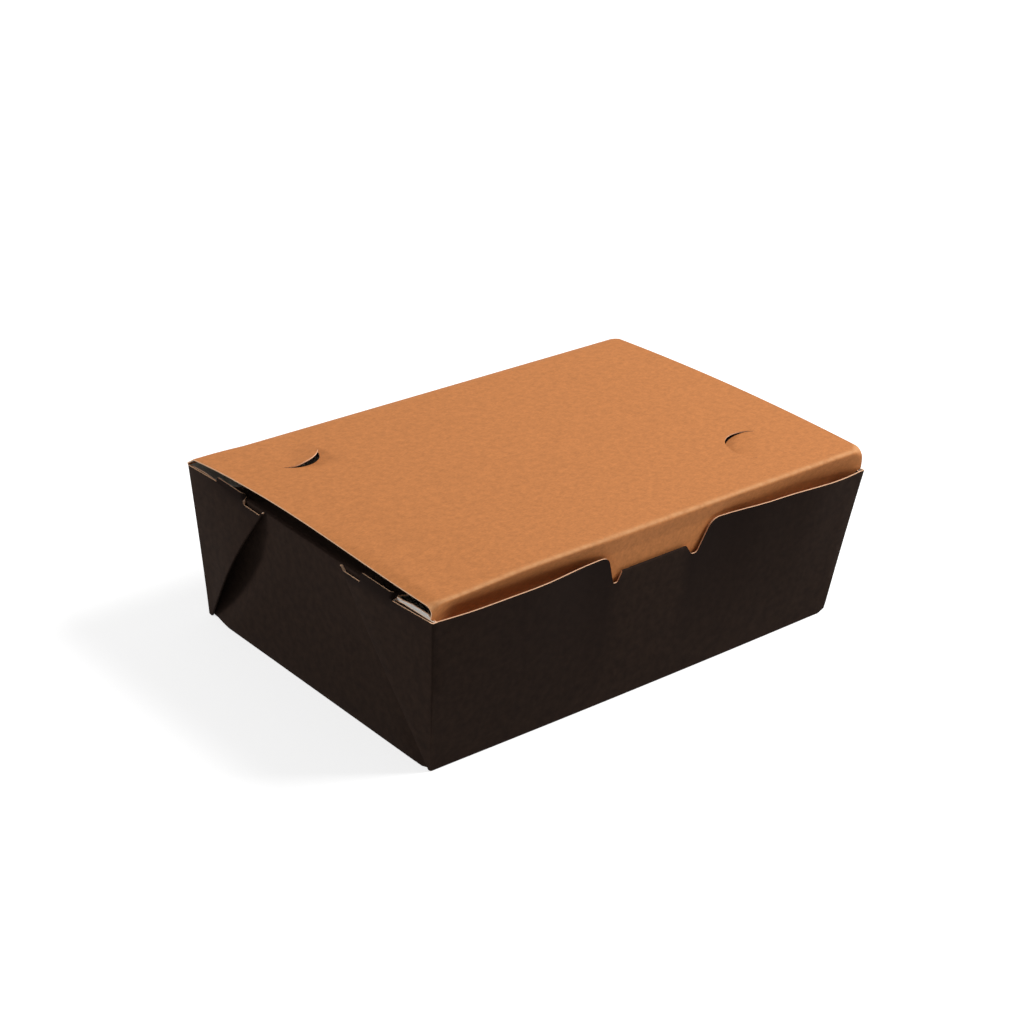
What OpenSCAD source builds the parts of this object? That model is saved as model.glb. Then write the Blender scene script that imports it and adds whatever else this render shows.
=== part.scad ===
// Takeaway box folded from one sheet of board, with webbed corners and a
// tuck-in lid. The base is centred on the origin, the front faces -Y, and the
// lid's crease runs along the top of the rear wall.

/* [Board] */
// Thickness of the board
board_t = 0.45; // [0.3:0.05:0.6]
// Air left between the folded leaves of a corner
leaf_gap = 0.1; // [0.05:0.05:0.2]

/* [Tray] */
// Length of the base
base_l = 195; // [150:1:240]
// Width of the base
base_w = 131; // [110:1:170]
// Height of the front and rear walls
wall_h = 62; // [52:1:85]
// How far the top of each end stands out past its foot
end_lean = 7; // [4:0.5:12]
// How far the top of the front and rear walls stands out past its foot
side_lean = 4.8; // [3:0.2:9]
// Rise of the front wall's top edge from its ends to the lock
front_rise = 0.7; // [0:0.1:2]

/* [Corner webs] */
// Depth of the sloping cut at its deep end, below the wall's top
web_low = 1.5; // [0.6:0.1:2.5]
// Length of the tab that stands up in each web's top edge
web_tab_l = 16.5; // [10:0.5:19]
// Height of that tab above the wall's top
web_tab_h = 1.6; // [1.1:0.1:2]
// Length of the notch between the tab and the web's tip
web_notch_l = 9.5; // [6:0.5:12]
// Depth of that notch below the wall's top
web_notch_d = 2.5; // [1.9:0.1:4]
// Radius of the corners of the tab and the notch
web_corner_r = 0.9; // [0.3:0.1:1.2]
// Height of the inner leaf above the wall's top
web_inner_h = 0.5; // [0.1:0.1:0.9]
// Length of the inner leaf's lower edge beside the corner post
web_inner_in = 3.5; // [2:0.5:7]

/* [End flaps] */
// Depth of the end flap's fold below the wall's top
dust_drop = 1.1; // [0.8:0.1:2.5]
// Reach of an end flap into the box
dust_l = 38; // [20:1:45]
// Width of an end flap at its fold
dust_w = 94; // [60:1:98]
// How much each side of an end flap narrows over its reach
dust_taper = 5; // [2:0.5:12]
// Corner radius of an end flap
dust_r = 8; // [3:0.5:12]

/* [Front lock] */
// Width of the cut-out at the wall's top
lock_w = 51; // [40:1:80]
// Slope of its sides, from the vertical
lock_slope = 18; // [8:1:30]
// Radius of its shoulders
lock_shoulder_r = 4; // [2:0.5:5]
// Depth of the folded edge below the wall's top
lock_drop = 6.7; // [5:0.1:9]
// Width of the relief notch at each end of the folded edge, at its bottom
lock_notch_w = 3.4; // [2.6:0.1:6]
// Depth of that notch below the folded edge
lock_notch_d = 4; // [3:0.1:6]
// How much wider the notch is at the folded edge
lock_notch_flare = 1.2; // [0.4:0.1:2.5]
// Radius of the notch's bottom corners
lock_notch_r = 1.2; // [0.5:0.1:1.3]
// Length of the tongue folded down behind the wall
tongue_h = 12; // [6:0.5:14]
// How much each end of the tongue narrows over its length
tongue_taper = 3; // [1:0.5:6]
// Air between the tongue and the wall
tongue_gap = 0.15; // [0.1:0.05:0.2]

/* [Lid] */
// Gap between the lid and the top of the rear wall at the crease
crease_gap = 0.5; // [0.45:0.05:0.8]
// Rise of the lid straight behind the crease
lid_step_h = 1.8; // [0.9:0.1:2.6]
// Length over which it rises
lid_step_l = 4; // [3:0.5:8]
// Rise of the arched lid above its own chord
lid_crown = 1.7; // [1:0.1:5]
// Height of the lid's front edge above the walls
lid_front_h = 7.4; // [5:0.1:9]
// Radius of the lid's front bend, to the middle of the board
lid_bend_r = 1.2; // [0.9:0.1:3]
// How much narrower the lid is than the box, at each end of its front edge
lid_inset = 0.6; // [0.4:0.1:2]

/* [Tuck flap] */
// Clearance between the tuck flap and the inside of the wall's top
flap_clear = 1.3; // [1:0.05:1.6]
// Depth of the tuck flap below the walls' top
flap_depth = 18; // [12:0.5:22]
// Angle between the tuck flap and the front wall
flap_angle = 1; // [0.6:0.1:4]
// How much narrower the tuck flap is than the box, at each end of the walls' top
flap_inset = 2.3; // [2.2:0.1:5]
// Height of the flap's sloping shoulders above and below the walls' top
flap_shoulder = 0.6; // [0.4:0.1:1]
// How much each end of the tuck flap narrows below its shoulders
flap_taper = 3.2; // [2.6:0.1:8]
// Corner radius of the tuck flap
flap_r = 7; // [3:0.5:9]

/* [Vents] */
// Radius of the half-moon cuts in the lid
vent_r = 11.5; // [7:0.5:14]
// Distance of the left one's middle from the box's left end
vent_left = 28.5; // [22:0.5:45]
// Distance of the right one's middle from the box's right end
vent_right = 32.5; // [22:0.5:45]
// Distance of the left one from the rear crease
vent_rear = 21.5; // [18:0.5:40]
// Distance of the right one from the front bend
vent_front = 26.5; // [18:0.5:40]
// Angle of each cut's bulge to the box's long side
vent_turn = 42; // [0:1:90]
// Width of the cut
vent_kerf = 0.3; // [0.2:0.05:0.6]
// Angle at which the left tab stands up
vent_up = 12; // [2:1:20]
// Angle at which the right tab is pressed in
vent_down = 6; // [2:1:15]

/* [Hidden] */
$fn = 72;
body_color = "#2c2421";
lid_color = "#c3824e";
// Steps along the lid's arch, round its bend and round a corner of the board
arch_steps = 24;
bend_steps = 8;
corner_steps = 6;
// Margin by which a cut passes the board
over = 2;

// Leans of the walls, their heights up the slope, and the box at its top
end_angle = atan(end_lean / wall_h);
side_angle = atan(side_lean / wall_h);
end_s = wall_h / cos(end_angle);
side_s = wall_h / cos(side_angle);
top_l = base_l + 2 * end_lean;
top_w = base_w + 2 * side_lean;

// A corner's spare board is halved by the web's fold, whose slope in the end's
// plane follows from the leans. The end panel lies behind a web's two leaves.
leaf_pitch = board_t + leaf_gap;
panel_in = 2 * leaf_pitch;
post = board_t / 2;
corner_slope = side_lean / end_s;
web_half = (90 - atan(end_lean / side_s) - atan(corner_slope)) / 2;
fold_slope = tan(web_half - atan(corner_slope));
fold_w = 2 * board_t;
dust_s = (wall_h - dust_drop) / cos(end_angle);
notch_s = end_s - web_notch_d;
web_notch_end = notch_s * fold_slope - fold_w;
web_tab_end = web_notch_end - web_notch_l;
web_tab_start = web_tab_end - web_tab_l;

// Front lock, in the front wall's plane
lock_top = side_s + front_rise;
lock_fold_s = side_s - lock_drop;
lock_notch_s = lock_fold_s - lock_notch_d;
lock_notch_x = lock_w / 2 - (lock_top - lock_notch_s) * tan(lock_slope);
lock_fold_x = lock_notch_x - lock_notch_w - lock_notch_flare;
tongue_in = board_t + tongue_gap;
tongue_bend_r = (tongue_in + board_t) / 2;
tongue_half = lock_fold_x - lock_notch_flare;
bend_s = lock_fold_s - tongue_bend_r;

// Side view of the lid, Y and Z of the middle of its board
flap_tilt = side_angle + flap_angle;
flap_y = -top_w / 2 + board_t / cos(side_angle) + flap_clear + board_t / 2;
bend_z = wall_h + lid_front_h - lid_bend_r;
bend_y = flap_y - (bend_z - wall_h) * tan(flap_tilt) + lid_bend_r / cos(flap_tilt);
crease = [top_w / 2, wall_h + board_t / 2];
arch_a = crease + [-lid_step_l, lid_step_h];
arch_b = [bend_y, bend_z + lid_bend_r];
arch_c = norm(arch_b - arch_a);
arch_r = arch_c * arch_c / (8 * lid_crown) + lid_crown / 2;
arch_half = asin(arch_c / (2 * arch_r));
arch_u = (arch_b - arch_a) / arch_c;
arch_n = [arch_u[1], -arch_u[0]];
arch_o = (arch_a + arch_b) / 2 - arch_n * (arch_r - lid_crown);
bend_start = 90 + arch_half - atan(arch_u[1] / -arch_u[0]);
bend_end = 180 + flap_tilt;
flap_end = [flap_y + (flap_depth + over) * tan(flap_tilt), wall_h - flap_depth - over];
lid_path = concat(
  [crease],
  [for (i = [0:arch_steps - 1]) arch_point(-arch_half + 2 * arch_half * i / arch_steps)],
  [for (i = [0:bend_steps]) bend_point(bend_start + (bend_end - bend_start) * i / bend_steps)],
  [flap_end]
);

function arch_point(a) = arch_o + arch_r * (arch_u * sin(a) + arch_n * cos(a));
function bend_point(a) = [bend_y, bend_z] + lid_bend_r * [cos(a), sin(a)];
// Height and slope of the arch at a distance Y from the box's middle
function arch_z(y) = arch_o[1] + sqrt(arch_r * arch_r - (y - arch_o[0]) * (y - arch_o[0]));
function arch_tilt(y) = -asin((y - arch_o[0]) / arch_r);

// Outline from its corners, each a point and a radius
function rounded(c) = [
  for (i = [0:len(c) - 1])
    each corner(c[(i + len(c) - 1) % len(c)][0], c[i][0], c[(i + 1) % len(c)][0], c[i][1])
];
function corner(a, b, c, r) =
  r == 0 ? [b] :
  let(
    u = (a - b) / norm(a - b),
    v = (c - b) / norm(c - b),
    half = acos(u * v) / 2,
    middle = b + r / sin(half) * (u + v) / norm(u + v),
    start = b + r / tan(half) * u - middle,
    end = b + r / tan(half) * v - middle,
    sweep = 180 - 2 * half
  )
  [for (i = [0:corner_steps])
    middle + (sin(sweep * (1 - i / corner_steps)) * start + sin(sweep * i / corner_steps) * end) / sin(sweep)];

// Normals of a path's stretches, and of its points with mitred bends
function stretch_normal(p, i) = let(d = (p[i + 1] - p[i]) / norm(p[i + 1] - p[i])) [-d[1], d[0]];
function point_normal(p, i) =
  i == 0 ? [0, 1 / stretch_normal(p, 0)[1]] :
  i == len(p) - 1 ? stretch_normal(p, i - 1) :
  let(m = (stretch_normal(p, i - 1) + stretch_normal(p, i)) / 2) m / (m * m);

// Strip of board seen edge on, its middle along a path
module ribbon(p) {
  h = board_t / 2;
  n = len(p);
  polygon(concat(
    [for (i = [0:n - 1]) p[i] + h * point_normal(p, i)],
    [for (i = [n - 1:-1:0]) p[i] - h * point_normal(p, i)]
  ));
}

// Leaf of board with the outline of its children
module leaf() {
  linear_extrude(board_t) children();
}

// Puts flat work into the plane of the left end, at a depth from its outside
module on_end(depth) {
  translate([-base_l / 2, 0, 0])
    rotate([0, -end_angle, 0])
      translate([depth, 0, 0])
        rotate([90, 0, 90]) children();
}

// Puts the frame of the front wall's foot at the front edge of the base
module at_front() {
  translate([0, -base_w / 2, 0]) rotate([side_angle, 0, 0]) children();
}

// Puts a leaf into the plane of the front wall, at a depth from its outside
module on_front(depth) {
  at_front() translate([0, depth + board_t, 0]) rotate([90, 0, 0]) children();
}

// Repeats an outline at both corners of an end, drawn inwards from the corner
module both_corners() {
  translate([-base_w / 2, 0]) children();
  translate([base_w / 2, 0]) mirror([1, 0]) children();
}

// Repeats flat work on both sides of the box's middle
module both_sides() {
  children();
  mirror([1, 0]) children();
}

module floor_panel() {
  half = base_l / 2 - panel_in / cos(end_angle);
  translate([-half, -base_w / 2, 0]) cube([2 * half, base_w, board_t]);
}

// Outer leaf of a web: sloping cut, tab, notch and tip in its top edge
module web_outer() {
  tab_s = end_s + web_tab_h;
  polygon(rounded([
    [[post, 0], 0],
    [[post - side_lean, end_s], 0],
    [[web_tab_start, end_s - web_low], 0],
    [[web_tab_start, tab_s], web_corner_r],
    [[web_tab_end, tab_s], web_corner_r],
    [[web_tab_end, notch_s], web_corner_r],
    [[web_notch_end, notch_s], web_corner_r / 2],
    [[web_notch_end, dust_s], 0],
    [[dust_s * fold_slope, dust_s], 0],
    [[post + board_t / 2, 0], 0]
  ]));
}

// Inner leaf of a web, notched like the outer one. Its inside face shows above
// the outer leaf's sloping cut.
module web_inner() {
  low_s = end_s - crease_gap;
  high_s = end_s + web_inner_h;
  corner_u = post - corner_slope * low_s;
  polygon([
    [post, 0],
    [corner_u, low_s],
    [corner_u + web_inner_in, low_s],
    [corner_u + web_inner_in + high_s - low_s, high_s],
    [web_tab_end, high_s],
    [web_tab_end, notch_s],
    [web_notch_end, notch_s],
    [web_notch_end, dust_s],
    [dust_s * fold_slope, dust_s]
  ]);
}

// Fold along a web's slope that joins its two leaves
module web_fold() {
  foot_s = (fold_w + post) / fold_slope;
  polygon([
    [foot_s * fold_slope, foot_s],
    [dust_s * fold_slope, dust_s],
    [dust_s * fold_slope - fold_w, dust_s],
    [foot_s * fold_slope - fold_w, foot_s]
  ]);
}

// Board of an end between the front and rear walls
module end_panel() {
  foot = base_w / 2 - post;
  panel_s = dust_s - board_t / 2;
  top = foot + corner_slope * panel_s;
  polygon([[-foot, 0], [foot, 0], [top, panel_s], [-top, panel_s]]);
}

// Flap folded in from the top of the left end panel
module dust_flap() {
  under = wall_h - dust_drop - board_t;
  fold_x = -base_l / 2 - end_lean * under / wall_h + panel_in / cos(end_angle);
  tip_w = dust_w - 2 * dust_taper;
  translate([fold_x, 0, under]) leaf() polygon(rounded([
    [[0, -dust_w / 2], 0],
    [[dust_l, -tip_w / 2], dust_r],
    [[dust_l, tip_w / 2], dust_r],
    [[0, dust_w / 2], 0]
  ]));
}

module end_wall() {
  on_end(0) leaf() both_corners() web_outer();
  on_end(leaf_pitch) leaf() both_corners() web_inner();
  on_end(0) linear_extrude(leaf_pitch + board_t) both_corners() web_fold();
  on_end(panel_in) leaf() end_panel();
  dust_flap();
}

// Wall with the lock's cut-out in its top edge and a relief notch at each
// end of the edge where the tongue folds over
module front_outline() {
  cut_out = [
    [[lock_w / 2, lock_top], lock_shoulder_r],
    [[lock_notch_x, lock_notch_s], lock_notch_r],
    [[lock_notch_x - lock_notch_w, lock_notch_s], lock_notch_r],
    [[lock_fold_x, bend_s], 0]
  ];
  polygon(rounded(concat(
    [[[base_l / 2, 0], 0], [[top_l / 2, side_s], 0]],
    cut_out,
    [for (i = [len(cut_out) - 1:-1:0]) [[-cut_out[i][0][0], cut_out[i][0][1]], cut_out[i][1]]],
    [[[-top_l / 2, side_s], 0], [[-base_l / 2, 0], 0]]
  )));
}

module rear_outline() {
  rear_s = side_s - crease_gap;
  rear_half = base_l / 2 + end_lean * rear_s / side_s;
  polygon([[-base_l / 2, 0], [base_l / 2, 0], [rear_half, rear_s], [-rear_half, rear_s]]);
}

// Tongue turned over the folded edge and down behind the front wall
module tongue() {
  at_front() translate([-tongue_half, tongue_bend_r, bend_s]) rotate([90, 0, 90])
    linear_extrude(2 * tongue_half) difference() {
      circle(tongue_bend_r);
      circle(tongue_bend_r - board_t);
      translate([-tongue_bend_r, -2 * tongue_bend_r]) square(2 * tongue_bend_r);
    }
  on_front(tongue_in) leaf()
    polygon([
      [-tongue_half, bend_s],
      [tongue_half, bend_s],
      [tongue_half - tongue_taper, lock_fold_s - tongue_h],
      [tongue_taper - tongue_half, lock_fold_s - tongue_h]
    ]);
}

// What the tuck flap's outline leaves of the board below the lid's front edge
module flap_waste() {
  foot = wall_h - flap_depth;
  top = wall_h + lid_front_h / 2;
  lid_half = top_l / 2 - lid_inset;
  half = top_l / 2 - flap_inset;
  difference() {
    translate([-top_l, foot - 2 * over]) square([2 * top_l, top - foot + 2 * over]);
    polygon(rounded([
      [[-lid_half, top + over], 0],
      [[lid_half, top + over], 0],
      [[lid_half, wall_h + flap_shoulder], 0],
      [[half, wall_h - flap_shoulder], 0],
      [[half - flap_taper, foot], flap_r],
      [[flap_taper - half, foot], flap_r],
      [[-half, wall_h - flap_shoulder], 0],
      [[-lid_half, wall_h + flap_shoulder], 0]
    ]));
  }
}

// What the lid's narrowing towards the front leaves out at the right end
module lid_edge_cut() {
  rear = top_l / 2 - board_t / 2;
  front = top_l / 2 - lid_inset;
  polygon([
    [rear, top_w / 2 + over],
    [front, -top_w / 2],
    [front, -top_w / 2 - over],
    [top_l, -top_w / 2 - over],
    [top_l, top_w / 2 + over]
  ]);
}

module half_moon(r) {
  intersection() {
    circle(r);
    translate([0, -r]) square([r, 2 * r]);
  }
}

// Puts a half-moon cut at its place on the lid, and its tab at an angle
module vent_hole(x, y, turn) {
  translate([x, y, wall_h]) rotate(turn) linear_extrude(lid_front_h + lid_crown + over)
    half_moon(vent_r);
}

module vent_tab(x, y, turn, lift) {
  root = 2 * vent_kerf;
  tab_r = vent_r - vent_kerf;
  translate([x, y, arch_z(y)])
    rotate([arch_tilt(y), 0, 0])
      rotate([0, -lift, turn])
        translate([0, 0, -board_t / 2]) leaf() {
          half_moon(tab_r);
          translate([-root, -tab_r]) square([root, 2 * tab_r]);
        }
}

module body() {
  color(body_color) {
    floor_panel();
    for (m = [0, 1]) mirror([m, 0, 0]) end_wall();
    on_front(0) leaf() front_outline();
    mirror([0, 1, 0]) on_front(0) leaf() rear_outline();
    tongue();
  }
}

module lid() {
  left_x = vent_left - top_l / 2;
  right_x = top_l / 2 - vent_right;
  rear_y = top_w / 2 - vent_rear;
  front_y = vent_front - top_w / 2;
  color(lid_color) {
    difference() {
      translate([-top_l / 2, 0, 0]) rotate([90, 0, 90]) linear_extrude(top_l) ribbon(lid_path);
      translate([0, 0, wall_h - over]) linear_extrude(2 * lid_front_h + lid_crown + over)
        both_sides() lid_edge_cut();
      translate([0, -top_w / 4, 0]) rotate([90, 0, 0]) linear_extrude(top_w / 2) flap_waste();
      vent_hole(left_x, rear_y, -vent_turn);
      vent_hole(right_x, front_y, 180 - vent_turn);
    }
    vent_tab(left_x, rear_y, -vent_turn, vent_up);
    vent_tab(right_x, front_y, 180 - vent_turn, -vent_down);
  }
}

body();
lid();
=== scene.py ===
"""Takeaway box: folded black board tray, arched kraft lid with half-moon vents, and a matching stage."""
import math
from collections import Counter

import bpy
from mathutils import Matrix, Vector


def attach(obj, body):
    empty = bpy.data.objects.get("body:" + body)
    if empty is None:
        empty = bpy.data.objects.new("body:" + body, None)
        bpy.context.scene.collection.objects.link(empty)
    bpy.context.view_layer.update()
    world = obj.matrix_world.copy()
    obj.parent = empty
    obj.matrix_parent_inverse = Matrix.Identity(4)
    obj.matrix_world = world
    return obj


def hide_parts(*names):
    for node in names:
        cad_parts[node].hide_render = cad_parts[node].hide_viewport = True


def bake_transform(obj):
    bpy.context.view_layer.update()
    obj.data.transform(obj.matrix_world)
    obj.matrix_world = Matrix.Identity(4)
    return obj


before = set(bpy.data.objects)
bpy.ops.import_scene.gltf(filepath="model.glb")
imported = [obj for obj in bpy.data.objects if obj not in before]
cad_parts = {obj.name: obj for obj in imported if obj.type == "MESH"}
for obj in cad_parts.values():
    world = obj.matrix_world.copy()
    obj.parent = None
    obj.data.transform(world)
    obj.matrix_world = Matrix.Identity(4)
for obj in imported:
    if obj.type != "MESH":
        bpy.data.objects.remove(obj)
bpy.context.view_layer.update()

bl_info = {
    "name": "Takeaway box",
    "version": (1, 0, 0),
    "blender": (4, 5, 0),
    "location": "3D View > Sidebar > Takeaway box",
    "description": "Models a folded food box round its packed frame, and the stage it stands on",
    "category": "Add Mesh",
}

MM = 0.001
# Ends of the box, and the corners of an end, as directions along X and Y
LEFT, RIGHT = -1, 1
FRONT, REAR = -1, 1
# Material slots of every piece of board, after the one for its outside
LINING, CUT_EDGE = 1, 2

# How near two points are that count as one, a point to its line, and one to the plane that cuts it
MERGE_REACH, LINE_REACH, CUT_REACH = 2e-6, 2e-6, 1e-7
# Slack for a point on the edge of a tab or a vent's cut
EDGE_REACH = 1e-6
# Angle below which two faces are shaded as one surface, in degrees
SMOOTH_ANGLE = 35

# Clearances of the webs' edges, in thicknesses of the board
NOTCH_CLEAR, TIP_CLEAR, POST_CLEAR = 2, 1.6, 1.2
# Power by which a bend grows towards a wall's top or a web's fold
SWELL = 1.5
# Where the front wall's top bows: share of its half length, the setting that says how far, and which way,
# 1 into the box and -1 out of it
BOWS = (
    (-0.81, "bow_out", -1), (-0.58, "bow_out", -1), (-0.28, "bow_left", 1),
    (0.28, "bow_right", 1), (0.56, "bow_mid", -1), (0.77, "bow_end", -1))
# Columns and rows along which the front wall, the webs, the end panels and the end flaps are scored to bend
WALL_COLUMNS, WALL_ROWS = 32, 12
WEB_ROWS = 12
FOOT_COLUMNS, FOOT_ROWS, GAP_ROWS = 30, 8, 4
SAG_ROWS = 10
# Shares of a web's angle, and of its tab's curl, at which it is scored
WEB_RAYS, CURL_CUTS = (0.35, 0.7), (0.3, 0.65, 1)
# Height of the walls' foot that is scored for its turned-up end, and height over which that end turns
FOOT_SCORE_H, FOOT_TURN_W = 10 * MM, 6 * MM
# Shares of the half length and half width at which a corner starts to move: right front, left rear, and foot
RIGHT_CORNER, LEFT_CORNER, FOOT_CORNER = (0.75, 0.5), (0.6, 0.3), 0.5

# Share of the lid's step at which its side view has a point, and where the arch's first row stands, in rows
STEP_KNEE, FIRST_ROW = 0.55, 0.25
# Distances of the arch's last rows from the front bend, close together where the painted highlight along the
# lid's crest shows
NEAR_ROWS = (2.2 * MM, 1.6 * MM, 1.1 * MM, 0.7 * MM, 0.35 * MM)
# How much closer the lid's columns stand at its ends than in its middle
COLUMN_CROWDING = 0.35
# Share of the front bend at which its crest lies, from the flap, and widths of the painted highlight past
# and before it
CREST_SHARE = 0.6
HIGHLIGHT_PAST, HIGHLIGHT_BEFORE = 0.45 * MM, 1.2 * MM
# Distances from the lid's left end at which its droop starts and is full, and its corner's own starts
DROOP_START, DROOP_FULL, CORNER_DROOP = 46 * MM, 6 * MM, 5.5 * MM
# Width over which the left end's lift turns into its droop
DROOP_TURN = 90 * MM
# Distances from the crease up to which the lid lies still, and from which it is free
CREASE_STILL, CREASE_FREE = 4 * MM, 24 * MM
# Depth of the lid's front strip that moves with the flap, and how little of a bow leaves the flap alone
FRONT_STRIP, BOW_SLACK = 10 * MM, 0.6 * MM
# Tuck of the flap: distances from the middle at which it starts and is full, from the flap's end and foot at
# which it is full, and how many times its value at the walls' top it may reach
TUCK_START, TUCK_FULL, TUCK_END, TUCK_FOOT = 22 * MM, 42 * MM, 14 * MM, 9 * MM
TUCK_MOST = 1.75
# Cuts that round a corner of the flap, and steps of a vent's half circle
FLAP_CORNER_CUTS, VENT_STEPS = 10, 36
# Height of the tool that cuts a vent, and height above the walls from which the board is the lid's top
CUTTER_H, LID_FROM = 12 * MM, 2 * MM
# Share of its angle that a vent's tab has straight beside its chord
TAB_SPRING = 0.35
# Columns and rows of the creased strip
CREASE_COLUMNS, CREASE_ROWS = 48, 6
# Distance from an end's middle of the two points that say where its folds run
FOLD_AIM = 40 * MM
# Depth of the board's grain
GRAIN_DEPTH = 0.05 * MM
# Width of the camera's sensor in millimetres, and the nearest and furthest that it sees, in metres
SENSOR_W = 36
CLIP = 0.01, 50
FLOOR_SIDES = 64
WHITE = (1, 1, 1, 1)


# Settings


def length(name, description, millimetres):
    """Property for one size, given in millimetres and kept in metres."""
    return bpy.props.FloatProperty(
        name=name, description=description, default=millimetres * MM, min=0.0,
        subtype="DISTANCE", unit="LENGTH", precision=5,
    )


def angle(name, description, degrees):
    """Property for one angle, given in degrees and kept in radians."""
    return bpy.props.FloatProperty(
        name=name, description=description, default=math.radians(degrees),
        subtype="ANGLE", unit="ROTATION",
    )


def place(name, description, x, y, z):
    """Property for one place, given in millimetres and kept in metres."""
    return bpy.props.FloatVectorProperty(
        name=name, description=description, size=3, subtype="XYZ", unit="LENGTH",
        default=[part * MM for part in (x, y, z)],
    )


def power(name, description, watts):
    """Property for the power of one light."""
    return bpy.props.FloatProperty(name=name, description=description, default=watts, min=0.0, unit="POWER")


def fraction(name, description, value):
    """Property for one share of a whole."""
    return bpy.props.FloatProperty(
        name=name, description=description, default=value, min=0.0, max=1.0, subtype="FACTOR")


def count(name, description, number, low=1):
    """Property for one number of faces or edges."""
    return bpy.props.IntProperty(name=name, description=description, default=number, min=low)


def colour(name, description, red, green, blue):
    """Property for one colour, given as the eye sees it, from 0 to 255."""
    return bpy.props.FloatVectorProperty(
        name=name, description=description, size=3, subtype="COLOR", min=0.0, max=1.0,
        default=[seen_to_linear(c / 255) for c in (red, green, blue)],
    )


def seen_to_linear(value):
    """Linear light of a colour value as the eye sees it."""
    return value / 12.92 if value <= 0.04045 else ((value + 0.055) / 1.055) ** 2.4


class BoardSettings(bpy.types.PropertyGroup):
    """The sheet that the box is folded from."""

    thickness: length("Thickness", "Thickness of the board", 0.45)
    leaf_gap: length("Leaf gap", "Air between the two leaves of a web", 0.1)
    fold_radius: length("Fold radius", "Outer radius of a crease", 0.5)
    post_radius: length("Corner radius", "Outer radius of a crease between a wall and an end", 0.8)
    fold_steps: count("Fold steps", "Faces round a crease", 4)
    corner_steps: count("Corner steps", "Edges round a rounded corner of an outline", 8)


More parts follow.
